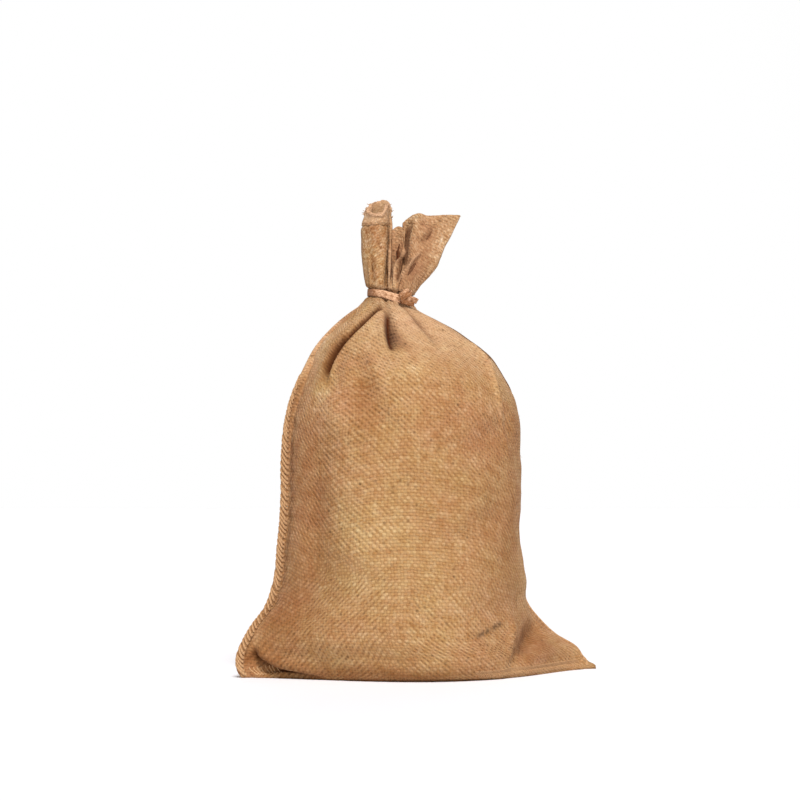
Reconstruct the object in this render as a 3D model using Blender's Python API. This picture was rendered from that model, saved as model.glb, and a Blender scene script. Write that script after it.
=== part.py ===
"""Filled hessian sack, gathered and tied at the neck.

sack  one closed solid: the filled belly with its sewn side fins, the two bottom ears, the
      gathered neck and the pleated, open mouth above the tie
tie   one closed solid: the flat tape round the neck with its knot, its loop and two free ends

Metres, +Z up. +X runs along the sack's flat width, -Y is the front, and the origin is the centre
of the box round the object, on the floor. The sewing, the weave and the fraying are too fine
for these solids. The tables below are in millimetres and degrees. A turn is a place round the
sack: 0 at the left seam, 90 at the front, 180 at the right seam, 270 at the back.
"""

import math

import bmesh
import bpy
import numpy as np
from mathutils import Matrix, Vector

MM = 0.001

# ---------------------------------------------------------------- driving dimensions
FIN_WIDTH = 6.4        # how far the overlocked side seam stands out of the belly
FIN_THICKNESS = 3.0    # two layers of cloth and the sewing round them
FIN_TAIL = 7.0         # loose end of the sewing at the right corner
RIGHT_FIN_FOLD = 38    # degrees by which the right fin lies back against the belly
HEM_OUT = 2.2          # how far the bottom seam stands out along the floor
HEM_HEIGHT = 4.5
CLOTH = 1.6            # thickness of the mouth's wall
SIDE_COLUMNS = 46      # mesh columns across each panel
SEAM_SPREAD = 1.5      # degrees of the neck's round that half a side seam takes

NECK_PLACE = (-20.5, 0.0)   # where the neck stands, from the middle line of the ears
NECK_HEIGHT = 300.5         # middle of the tie
NECK_TURN = 17              # degrees by which the gathered mouth is turned on the belly
NECK_TILT = 10              # degrees by which the tie hangs lower on its right
GATHERS = 15                # small pleats that run down from the tie
GATHER_DEPTH = 1.6

# The filled part, floor to neck. left and right are where the side seams stand, front and
# back how far the panels bulge. crown is 0.5 for a round section, and more for one that runs
# out into thin ears.
BELLY = (
    # height  left    right  front  back  crown
    (0,      -135.0,  144.0,  74.0, 72.0, 1.50),
    (4,      -138.0,  143.5,  81.0, 79.0, 1.48),
    (10,     -139.5,  141.5,  85.0, 83.0, 1.42),
    (18,     -139.0,  136.0,  87.0, 85.0, 1.25),
    (28,     -135.0,  119.0,  89.0, 86.5, 1.03),
    (40,     -128.0,  105.5,  90.0, 87.0, 0.88),
    (54,     -117.5,   94.0,  90.5, 87.0, 0.74),
    (74,     -110.0,   90.0,  90.0, 86.5, 0.60),
    (100,    -107.0,   84.5,  89.0, 86.0, 0.52),
    (138,    -104.0,   84.0,  87.5, 85.5, 0.49),
    (176,    -103.5,   83.5,  85.5, 85.0, 0.49),
    (202,    -100.5,   84.5,  83.0, 83.5, 0.50),
    (221,     -95.5,   79.5,  78.0, 79.0, 0.50),
    (240,     -88.0,   68.5,  69.5, 71.0, 0.50),
    (259,     -77.5,   53.5,  56.0, 58.0, 0.50),
    (271,     -65.5,   41.5,  44.0, 46.0, 0.50),
    (283,     -51.0,   25.0,  30.0, 32.0, 0.50),
    (288,     -44.5,   13.0,  24.5, 26.0, 0.50),
)

# How many mesh rows each stretch of the belly takes.
BELLY_ROWS = (
    # from  to   rows
    (0,     20,   6),
    (20,    44,   5),
    (44,    80,   4),
    (80,   200,   7),
    (200,  288,  13),
)

# Folds and dents of the filled part. Each follows its path of turns and heights, and a minus
# depth is a ridge. right and left are its widths to the right and to the left hand of someone who
# walks along the path on the cloth, and lip is how far the cloth swells beside it on the right.
FOLDS = (
    # right  left  lip   path: turn, height, depth
    (5,      11,   2.5,  ((72, 289, 3), (56, 279, 7), (48, 270, 10), (41, 260, 12), (33, 250, 11),
                          (28, 241, 8), (28, 230, 4), (30, 218, 0))),
    (4.5,     8,   1.0,  ((77, 289, 3), (75, 278, 7), (75, 267, 9), (76, 260, 8), (78, 252, 3),
                          (80, 245, 0))),
    (4.5,     7,   0.0,  ((113, 289, 3), (110, 278, 4), (112, 269, 2.5), (114, 260, 0))),
    (8,       8,   0.0,  ((126, 287, -1), (137, 276, -2.5), (139, 261, -2.5), (138, 246, -2.5),
                          (135, 228, -2), (130, 202, 0))),
    (9,      12,   0.0,  ((86, 268, 0), (80, 252, 3), (77, 238, 2.5), (76, 216, 0))),
    (14,     16,   0.0,  ((42, 218, 0), (43, 190, 2), (44, 140, 3), (47, 95, 2), (50, 60, 0))),
    (3,       6,   2.5,  ((54, 2, 0), (44, 4, 5), (35, 8, 7), (28, 12, 7), (22, 17, 4),
                          (15, 22, 0))),
    (8,       7,   0.0,  ((160, 42, 0), (150, 35, 6), (134, 29, 8), (121, 21, 7), (110, 11, 4),
                          (104, 4, 0))),
    (4,       4,   0.0,  ((130, 42, 0), (126, 36, -2), (120, 24, -2.5), (113, 11, -2),
                          (110, 2, 0))),
    (5,      10,   1.5,  ((246, 289, 2), (243, 279, 7), (238, 264, 9), (233, 248, 5),
                          (229, 232, 0))),
    (5,       9,   1.0,  ((288, 289, 2), (292, 278, 6), (299, 263, 7), (306, 246, 4),
                          (311, 230, 0))),
    (6,       7,   0.0,  ((267, 289, 1), (267, 276, 4), (266, 262, 4), (264, 248, 0))),
    (15,     15,   0.0,  ((303, 205, 0), (297, 160, 3), (300, 105, 3), (306, 62, 0))),
    (8,       8,   0.0,  ((200, 44, 0), (208, 36, 5), (224, 28, 8), (238, 18, 6), (250, 7, 0))),
    (8,       8,   0.0,  ((347, 40, 0), (336, 33, 4), (324, 25, 6), (312, 15, 5), (300, 5, 0))),
)

# The gathered neck, along its own axis from the middle of the tie.
NECK = (
    # offset  side radius  front radius
    (-7.0,    20.5,        19.0),
    (-4.2,    17.7,        16.1),
    (-1.5,    17.4,        15.8),
    (1.5,     17.4,        15.8),
    (4.2,     17.7,        16.1),
)

# The pleated rim of the mouth, seen from above and from the neck's axis. spread says how soon a
# pleat reaches its width above the tie, and pinch how deep it is drawn in at the tie.
MOUTH = (
    # turn  side   front  rim    spread  pinch
    (6,    -23.0,    3.0, 365.0, 4.0,    0.0),
    (28,   -19.5,   11.0, 358.5, 4.0,    0.0),
    (50,   -12.0,   14.0, 357.0, 3.0,    0.0),
    (67,    -5.5,   12.5, 357.0, 3.0,    0.0),
    (77,    -2.0,    5.0, 354.0, 2.0,    4.0),
    (85,    -0.6,   10.0, 353.0, 2.0,    0.5),
    (92,     1.8,    6.0, 354.0, 2.0,    2.0),
    (100,    6.5,    6.0, 355.5, 2.0,    0.5),
    (108,   12.0,    9.0, 356.0, 1.6,    0.0),
    (116,   11.0,    4.5, 360.0, 1.6,    3.5),
    (127,   22.0,    8.5, 365.5, 1.6,    0.0),
    (154,   40.0,    5.5, 365.5, 1.7,    0.0),
    (180,   57.0,    0.5, 365.5, 1.8,    0.0),
    (206,   40.0,   -4.0, 363.0, 1.7,    0.0),
    (222,   24.0,   -6.5, 360.0, 1.6,    0.0),
    (232,   14.0,   -7.0, 355.0, 2.0,    3.0),
    (244,   20.0,  -17.0, 355.0, 2.0,    0.0),
    (256,    7.0,   -9.0, 350.0, 2.0,    3.0),
    (268,    7.0,  -21.0, 349.0, 2.0,    0.0),
    (280,    1.5,   -8.0, 352.0, 2.0,    3.0),
    (292,    0.0,  -12.5, 374.0, 3.0,    0.0),
    (316,  -11.0,  -12.0, 376.5, 3.0,    0.0),
    (340,  -21.0,   -6.0, 371.0, 4.0,    0.5),
)
OUTER_ROWS = (0.06, 0.13, 0.21, 0.30, 0.40, 0.52, 0.66, 0.83, 1.0)
INNER_ROWS = (0.99, 0.80, 0.60, 0.42, 0.27, 0.15)

TIE_WIDTH = 6.4
TIE_THICKNESS = 1.2
TIE_GAP = 0.45         # between the gathered cloth and the tape
TIE_SEGMENTS = 48

# Lumps of the knot, and its two flat ends, from the neck's axis and the tie's middle.
LUMPS = (
    # side  front  up    radial  along  upright
    (13.8,  15.6,  0.3,  3.9,    7.0,   4.4),
    (13.6,  17.0,  8.0,  2.6,    4.2,   5.4),
)
ENDS = (
    # side  front  up    length  width  thickness  drop
    (15.5,  16.5,  2.0,  9.0,    4.4,   1.4,       18),
    (14.5,  16.0, -2.4,  8.5,    4.0,   1.4,       32),
)

HESSIAN = (0.52, 0.31, 0.155)
TAPE = (0.56, 0.33, 0.19)


# ---------------------------------------------------------------- curves through tables
def smooth(knots, values, at):
    """Values at the places at, on a smooth curve through the knots."""
    knots = np.asarray(knots, float)
    values = np.asarray(values, float)
    slopes = np.gradient(values, knots)
    place = np.clip(np.searchsorted(knots, at) - 1, 0, len(knots) - 2)
    span = knots[place + 1] - knots[place]
    u = np.clip((at - knots[place]) / span, 0, 1)
    return (
        values[place] * (1 + 2 * u) * (1 - u) ** 2
        + values[place + 1] * (3 - 2 * u) * u ** 2
        + slopes[place] * span * u * (1 - u) ** 2
        - slopes[place + 1] * span * (1 - u) * u ** 2
    )


def ease(low, high, at):
    """0 below low, 1 above high, and a soft step between."""
    u = np.clip((at - low) / (high - low), 0, 1)
    return u * u * (3 - 2 * u)


def column(table, index):
    return [row[index] for row in table]


def closed_table(table, index):
    """Turns and one column of a table that runs round the neck, repeated past both ends."""
    turns = column(table, 0)
    values = column(table, index)
    turns = [t - 360 for t in turns[-3:]] + turns + [t + 360 for t in turns[:3]]
    return turns, values[-3:] + values + values[:3]


# ---------------------------------------------------------------- the sack's rings
def ring_columns():
    """Turns round the belly and round the neck, the side and the fin share of each column."""
    step = np.linspace(0, 180, SIDE_COLUMNS + 1)
    squeezed = SEAM_SPREAD + step * (180 - 2 * SEAM_SPREAD) / 180
    third = SEAM_SPREAD / 3
    belly = np.concatenate([step, [180, 180], 180 + step, [360, 360]])
    neck = np.concatenate([squeezed, [180 - third, 180 + third],
                           180 + squeezed, [360 - third, 360 + third]])
    panel = np.zeros(SIDE_COLUMNS + 1)
    side = np.concatenate([panel + 1, [1, -1], panel - 1, [-1, 1]])
    fin = np.concatenate([panel, [1, 1], panel, [1, 1]])
    return belly, neck, side, fin


def belly_points(heights, turns, side, fin):
    """Places on the filled part before it is folded: two bulging panels and a fin at each side."""
    left, right, front, back, crown = (
        smooth(column(BELLY, 0), column(BELLY, i), heights) for i in range(1, 6)
    )
    middle = (left + right) / 2
    half = (right - left) / 2
    around = np.radians(turns)
    bulge = np.abs(np.sin(around)) ** (2 * crown)
    reach = np.where(side > 0, front, back) * bulge + FIN_THICKNESS / 2
    on_floor = ease(HEM_HEIGHT + 1, HEM_HEIGHT - 1, heights)
    hem = np.where(turns < 180, ease(8, 16, turns) * (1 - ease(40, 52, turns))
                   + ease(96, 106, turns) * (1 - ease(168, 176, turns)), 0)
    reach = reach + HEM_OUT * on_floor * hem
    x = middle - half * np.cos(around)
    y = -side * reach
    width = FIN_WIDTH * (1 - 0.7 * ease(222, 286, heights))
    tail = FIN_TAIL * on_floor
    fold = np.radians(RIGHT_FIN_FOLD)
    on_right = np.cos(around) < 0
    x = x + fin * np.where(on_right, (width + tail) * np.cos(fold), -width)
    y = y + fin * np.where(on_right, width * np.sin(fold), 0)

    twist = np.radians(-NECK_TURN) * ease(232, 288, heights)
    dx, dy = x - NECK_PLACE[0], y - NECK_PLACE[1]
    x = NECK_PLACE[0] + dx * np.cos(twist) - dy * np.sin(twist)
    y = NECK_PLACE[1] + dx * np.sin(twist) + dy * np.cos(twist)
    lean = ease(247, 293, heights) * math.tan(math.radians(NECK_TILT))
    z = heights - lean * (x - NECK_PLACE[0])
    return np.stack([x, y, z], axis=-1)


def to_sack(sideways, frontways, up):
    """Points given from the neck's axis, in the mouth's own turn, placed on the sack."""
    turn = np.radians(-NECK_TURN)
    x = NECK_PLACE[0] + sideways * np.cos(turn) + frontways * np.sin(turn)
    y = NECK_PLACE[1] + sideways * np.sin(turn) - frontways * np.cos(turn)
    return np.stack([x, y, up], axis=-1)


def neck_outline(offset, turns):
    """The gathered neck at a distance along its axis, as sideways and frontways places."""
    across = smooth(column(NECK, 0), column(NECK, 1), offset)
    through = smooth(column(NECK, 0), column(NECK, 2), offset)
    shrink = 1 - np.maximum(smooth(*closed_table(MOUTH, 5), turns), 0) / across
    around = np.radians(turns)
    return -across * shrink * np.cos(around), through * shrink * np.sin(around)


def neck_ring(offset, turns):
    """One ring of the gathered neck, tilted with the tie."""
    sideways, frontways = neck_outline(offset, turns)
    up = NECK_HEIGHT + offset - math.tan(math.radians(NECK_TILT)) * sideways
    return to_sack(sideways, frontways, up)


def mouth_ring(share, turns, inset=0.0):
    """One ring of the pleated mouth, share of the way from the tie to the rim."""
    start = NECK[-1][0]
    low_side, low_front = neck_outline(start, turns)
    rim_side, rim_front, rim, spread = (smooth(*closed_table(MOUTH, i), turns) for i in range(1, 5))
    opened = 1 - (1 - share) ** spread
    sideways = low_side + opened * (rim_side - low_side)
    frontways = low_front + opened * (rim_front - low_front)
    low = NECK_HEIGHT + start - math.tan(math.radians(NECK_TILT)) * low_side
    along = np.roll(sideways, -1) - np.roll(sideways, 1)
    across = np.roll(frontways, -1) - np.roll(frontways, 1)
    length = np.hypot(along, across)
    sideways = sideways + inset * across / length
    frontways = frontways - inset * along / length
    return to_sack(sideways, frontways, low + share * (rim - low))


# ---------------------------------------------------------------- folds
def surface_normals(grid):
    """Outward directions at the points of a grid of rings."""
    upward = np.gradient(grid, axis=0)
    onward = np.roll(grid, -1, axis=1) - np.roll(grid, 1, axis=1)
    normals = np.cross(onward, upward)
    return normals / np.linalg.norm(normals, axis=2, keepdims=True)


def fold_depth(grid, heights, turns, fold):
    """How far one fold draws each point of the grid in."""
    right, left, lip, path = fold
    path = np.array(path, float)
    side = np.where(path[:, 0] <= 180, 1, -1)
    route = belly_points(path[:, 1], path[:, 0], side, 0 * side)
    nearest = np.full(grid.shape[:2], 1e9)
    depth = np.zeros(grid.shape[:2])
    hand = np.zeros(grid.shape[:2])
    for i in range(len(path) - 1):
        run = route[i + 1] - route[i]
        share = np.clip((grid - route[i]) @ run / (run @ run), 0, 1)
        away = np.linalg.norm(grid - route[i] - share[..., None] * run, axis=2)
        d_turn, d_height = path[i + 1, :2] - path[i, :2]
        at_turn = path[i, 0] + share * d_turn
        at_height = path[i, 1] + share * d_height
        turned = (turns - at_turn) * d_height - (heights - at_height) * d_turn
        closer = away < nearest
        nearest = np.where(closer, away, nearest)
        depth = np.where(closer, path[i, 2] + share * (path[i + 1, 2] - path[i, 2]), depth)
        hand = np.where(closer, turned, hand)
    width = np.where(hand > 0, right, left)
    trough = depth * np.exp(-(nearest / width) ** 2)
    swell = lip * np.clip(depth / 8, 0, 1) * np.exp(-((nearest - 3 * right) / (1.6 * right)) ** 2)
    return trough - np.where(hand > 0, swell, 0)


def belly_grid():
    """The rings of the filled part, with its folds and the gathers under the tie."""
    turns, _, side, fin = ring_columns()
    heights = [a + (b - a) * i / rows for a, b, rows in BELLY_ROWS for i in range(rows)]
    heights = np.array(heights + [BELLY_ROWS[-1][1]], float)[:, None] + 0 * turns
    turns, side, fin = (np.broadcast_to(part, heights.shape) for part in (turns, side, fin))
    grid = belly_points(heights, turns, side, fin)
    gather = GATHER_DEPTH * ease(258, 288, heights) * (0.5 + 0.5 * np.cos(np.radians(turns * GATHERS)))
    depths = np.stack([fold_depth(grid, heights, turns, fold) for fold in FOLDS])
    depth = np.maximum(depths, 0).max(axis=0) + np.minimum(depths, 0).sum(axis=0) + gather
    depth = np.where(fin > 0, 0, depth)
    drawn = grid - depth[..., None] * surface_normals(grid)
    drawn[..., 2] = np.maximum(drawn[..., 2], 0)
    drawn[0, :, 2] = 0
    return drawn


def sack_rings():
    turns = ring_columns()[1]
    rings = list(belly_grid())
    rings += [neck_ring(row[0], turns) for row in NECK]
    rings += [mouth_ring(share, turns) for share in OUTER_ROWS]
    rings += [mouth_ring(share, turns, CLOTH) for share in INNER_ROWS]
    return rings


# ---------------------------------------------------------------- meshes
def material(name, colour, roughness):
    made = bpy.data.materials.new(name)
    made.use_nodes = True
    shader = made.node_tree.nodes["Principled BSDF"]
    shader.inputs["Base Color"].default_value = (*colour, 1)
    shader.inputs["Roughness"].default_value = roughness
    shader.inputs["Metallic"].default_value = 0
    return made


def add_object(name, bm, look):
    """A mesh object from a bmesh in millimetres."""
    bmesh.ops.scale(bm, vec=(MM, MM, MM), verts=bm.verts)
    bmesh.ops.recalc_face_normals(bm, faces=bm.faces)
    mesh = bpy.data.meshes.new(name)
    bm.to_mesh(mesh)
    bm.free()
    mesh.materials.append(look)
    mesh.shade_smooth()
    made = bpy.data.objects.new(name, mesh)
    bpy.context.collection.objects.link(made)
    return made


def bridge(bm, rings, closed):
    """Faces between rings of vertices that run round, and the rings."""
    pairs = list(zip(rings, rings[1:]))
    if closed:
        pairs.append((rings[-1], rings[0]))
    for low, high in pairs:
        for i, vert in enumerate(low):
            j = (i + 1) % len(low)
            bm.faces.new((vert, low[j], high[j], high[i]))


def build_sack(look):
    bm = bmesh.new()
    rings = [[bm.verts.new(point) for point in ring] for ring in sack_rings()]
    bridge(bm, rings, closed=False)
    bm.faces.new(list(reversed(rings[0])))
    bm.faces.new(rings[-1])
    return add_object("sack", bm, look)


def build_band(look):
    """The tape's turn round the neck."""
    bm = bmesh.new()
    inner = max(row[1] for row in NECK[1:]) - 0.1 + TIE_GAP
    flat = NECK[2][1] - NECK[2][2]
    around = np.radians(np.arange(TIE_SEGMENTS) * 360 / TIE_SEGMENTS)
    rings = []
    for outset, up in ((0, -0.5), (TIE_THICKNESS, -0.5), (TIE_THICKNESS, 0.5), (0, 0.5)):
        sideways = -(inner + outset) * np.cos(around)
        frontways = (inner - flat + outset) * np.sin(around)
        slope = math.tan(math.radians(NECK_TILT)) * sideways
        points = to_sack(sideways, frontways, NECK_HEIGHT + up * TIE_WIDTH - slope)
        rings.append([bm.verts.new(point) for point in points])
    bridge(bm, rings, closed=True)
    return add_object("tie", bm, look)


def tie_place(side, front, up):
    slope = math.tan(math.radians(NECK_TILT)) * side
    return Vector(to_sack(np.float64(side), np.float64(front), np.float64(NECK_HEIGHT + up - slope)))


def build_lump(name, row, look):
    """A rounded lump of the knot, flattened towards the neck."""
    side, front, up, radial, along, upright = row
    bm = bmesh.new()
    bmesh.ops.create_uvsphere(bm, u_segments=20, v_segments=12, radius=1)
    away = math.atan2(-front, side) - math.radians(NECK_TURN)
    place = Matrix.Translation(tie_place(side, front, up)) @ Matrix.Rotation(away, 4, "Z")
    bmesh.ops.transform(bm, matrix=place @ Matrix.Diagonal((radial, along, upright, 1)), verts=bm.verts)
    return add_object(name, bm, look)


def build_end(name, row, look):
    """A free end of the tape, which droops away from the knot."""
    side, front, up, length, width, thickness, drop = row
    bm = bmesh.new()
    bmesh.ops.create_cube(bm, size=1)
    bmesh.ops.translate(bm, vec=(0.5, 0, 0), verts=bm.verts)
    place = (Matrix.Translation(tie_place(side, front, up))
             @ Matrix.Rotation(-math.radians(NECK_TURN), 4, "Z")
             @ Matrix.Rotation(math.radians(drop), 4, "Y"))
    bmesh.ops.transform(bm, matrix=place @ Matrix.Diagonal((length, thickness, width, 1)),
                        verts=bm.verts)
    return add_object(name, bm, look)


def join_to(target, piece):
    """Makes a piece part of the target's solid."""
    union = target.modifiers.new(piece.name, "BOOLEAN")
    union.operation = "UNION"
    union.object = piece
    piece.hide_render = True
    piece.display_type = "WIRE"


def build_tie(look):
    tie = build_band(look)
    for i, row in enumerate(LUMPS):
        join_to(tie, build_lump(f"knot_{i}", row, look))
    for i, row in enumerate(ENDS):
        join_to(tie, build_end(f"end_{i}", row, look))
    return tie


def centre_on_floor(objects):
    """Moves the meshes so that the box round them stands centred on the origin."""
    corners = np.array([corner for made in objects for corner in made.bound_box])
    middle = (corners.min(axis=0) + corners.max(axis=0)) / 2
    shift = Matrix.Translation((-middle[0], -middle[1], 0))
    for made in bpy.data.objects:
        made.data.transform(shift)


def main():
    for old in list(bpy.data.objects):
        bpy.data.objects.remove(old, do_unlink=True)
    sack = build_sack(material("hessian", HESSIAN, 0.95))
    build_tie(material("tie_tape", TAPE, 0.85))
    centre_on_floor([sack])


main()
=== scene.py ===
"""Hessian sack, filled, gathered and tied at the neck: cloth, sewing, fraying, tape and stage."""

import functools
import math

import bpy
import numpy as np
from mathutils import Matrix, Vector


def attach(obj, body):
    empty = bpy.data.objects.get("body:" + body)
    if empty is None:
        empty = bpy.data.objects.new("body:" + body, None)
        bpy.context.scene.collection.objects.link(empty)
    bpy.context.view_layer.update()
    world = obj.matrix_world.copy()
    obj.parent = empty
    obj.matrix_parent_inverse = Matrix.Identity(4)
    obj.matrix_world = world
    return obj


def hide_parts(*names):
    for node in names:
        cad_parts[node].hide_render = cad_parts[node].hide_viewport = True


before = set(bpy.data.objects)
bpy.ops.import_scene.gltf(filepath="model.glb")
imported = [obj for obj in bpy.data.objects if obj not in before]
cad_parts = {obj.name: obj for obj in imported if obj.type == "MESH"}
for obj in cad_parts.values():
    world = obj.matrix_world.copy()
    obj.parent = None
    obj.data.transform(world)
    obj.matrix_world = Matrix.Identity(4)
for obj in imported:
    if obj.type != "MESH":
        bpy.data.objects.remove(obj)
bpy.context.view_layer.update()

bl_info = {
    "name": "Tied hessian sack",
    "version": (1, 0, 0),
    "blender": (4, 5, 0),
    "location": "View3D > Sidebar > Sack",
    "description": "Woven cloth, overlocked seams, a frayed mouth and a tape tie for a full sack",
    "category": "Object",
}

MM = 0.001

# ---------------------------------------------------------------- shape of the sack
# The tables are in millimetres and degrees, measured from the middle line of the two ears.
# A turn is a place round the sack: 0 at the left seam, 90 at the front, 180 at the right seam
# and 270 at the back. A pair of heights or turns is where a change sets in and where it is full.
MIDDLE = (4.272, -1.717)    # from the ears' middle line to the middle of the whole box
PANEL_COLUMNS = 152         # mesh columns across each panel
CLOTH = 1.3                 # two layers of hessian at the mouth's hem

# the side seams
FIN_WIDTH = 6.4             # how far the overlocked seam stands out of the belly
FIN_THICKNESS = 3.0         # its folded cloth, inside the stitches
FIN_TAIL = 4.2              # how much further the right seam's end sticks out on the floor
FIN_NARROWS = (216, 280)    # heights over which the seams get narrower:
LEFT_FIN_LOSS = 0.7         # the left one by this share of its width
RIGHT_FIN_LOSS = 0.6        # and the right one by this
RIGHT_FIN_FOLD = 62         # degrees by which the right seam lies back against the belly,
FIN_FOLDS_FROM = (2, 12)    # from these heights up
TUCKED_FROM = 208           # above this height it is tucked in behind the shoulder,
TUCKED_LOSS = 0.78          # gives up this share of that fold
TUCKED_SHADE = 0.6          # and lies in shade
STITCH_SHADE = 0.18         # the shade of the cloth under the stitches
SEAM_WAVE = 0.5             # how far the seams wave to the front and the back
SEAM_PUCKER = 12.5          # length of one pucker beside a seam
SEAM_PUCKER_DEPTH = 0.55
NEEDLE_TURN = 4             # where the painted shade of the needle's holes lies beside the left seam
NEEDLE_SPREAD = 2.6         # and how wide that strip is, in degrees

# the seam along the bottom
BOTTOM_SEAM_OUT = 2.2       # how far it stands out under the belly
BOTTOM_SEAM_HEIGHT = 4.5
BOTTOM_SEAM_SHOWS = ((8, 16, 40, 52), (96, 106, 168, 176))  # turns of its two runs

# the neck and the gathers below it
NECK_PLACE = (-20.5, 0.0)   # the neck's axis
NECK_HEIGHT = 300.5         # the middle of the tie on it
NECK_TURN = math.radians(-17)               # how far the flat mouth is turned round it
NECK_SLOPE = math.tan(math.radians(10))     # how steeply the tie falls to the right
TURNS_IN = (232, 288)       # heights over which the belly takes up that turn
SLOPES_IN = (247, 293)      # and that slope
GATHERS = 15
GATHER_DEPTH = 1.3
GATHERED = (258, 288)       # heights over which they deepen
NECK_PUCKER = 0.016         # depth of the puckers beside the tape, as a share of the radius
PAST_TAPE = (2.5, 4.6)      # from under the tape to past its edge
SEAM_SPREAD = 1.5           # the panels stop this many degrees short of a seam at the neck

# a flaw in the front panel: a pulled thread, by turns and heights
PULLED_THREAD = ((107, 35), (121, 43))
PULLED_SCALE = 1.77         # millimetres to a degree of turn there
PULLED_WIDTH = 1.6          # and the width of the gap that it leaves

# Section of a sewn side seam, from the front panel over its edge to the back panel.
FIN_SECTION = (
    # share of width, share of thickness
    (0.25,  1.00),
    (0.50,  1.00),
    (0.78,  0.92),
    (0.97,  0.50),
    (0.97, -0.50),
    (0.78, -0.92),
    (0.50, -1.00),
    (0.25, -1.00),
)

# The belly's outline. crown is 0.5 where a panel bulges in half an ellipse, and more where it
# runs out thinner towards its seams.
BELLY = (
    # height, left, right, front, back, crown
    (0,   -135.0, 144.0, 74.0, 72.0, 1.50),
    (4,   -138.0, 143.5, 81.0, 79.0, 1.48),
    (10,  -139.5, 141.5, 85.0, 83.0, 1.42),
    (18,  -139.0, 136.0, 87.0, 85.0, 1.25),
    (28,  -135.0, 119.0, 89.0, 86.5, 1.03),
    (40,  -128.0, 105.5, 90.0, 87.0, 0.88),
    (54,  -117.5,  94.0, 90.5, 87.0, 0.74),
    (74,  -110.0,  90.0, 90.0, 86.5, 0.60),
    (100, -107.0,  84.5, 89.0, 86.0, 0.52),
    (138, -104.0,  84.0, 87.5, 85.5, 0.49),
    (176, -103.5,  83.5, 85.5, 85.0, 0.49),
    (202, -100.5,  84.5, 83.0, 83.5, 0.50),
    (221,  -95.5,  79.5, 78.0, 79.0, 0.50),
    (240,  -88.0,  68.5, 69.5, 71.0, 0.50),
    (259,  -77.5,  53.5, 56.0, 58.0, 0.50),
    (271,  -65.5,  41.5, 44.0, 46.0, 0.50),
    (283,  -51.0,  25.0, 30.0, 32.0, 0.50),
    (288,  -44.5,  13.0, 24.5, 26.0, 0.50),
)

# Mesh rings up the belly, closest where it folds most.
BELLY_ROWS = (
    # from, to, rows
    (0,    10,  7),
    (10,   44, 21),
    (44,   80, 18),
    (80,  200, 52),
    (200, 288, 66),
)

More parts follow.
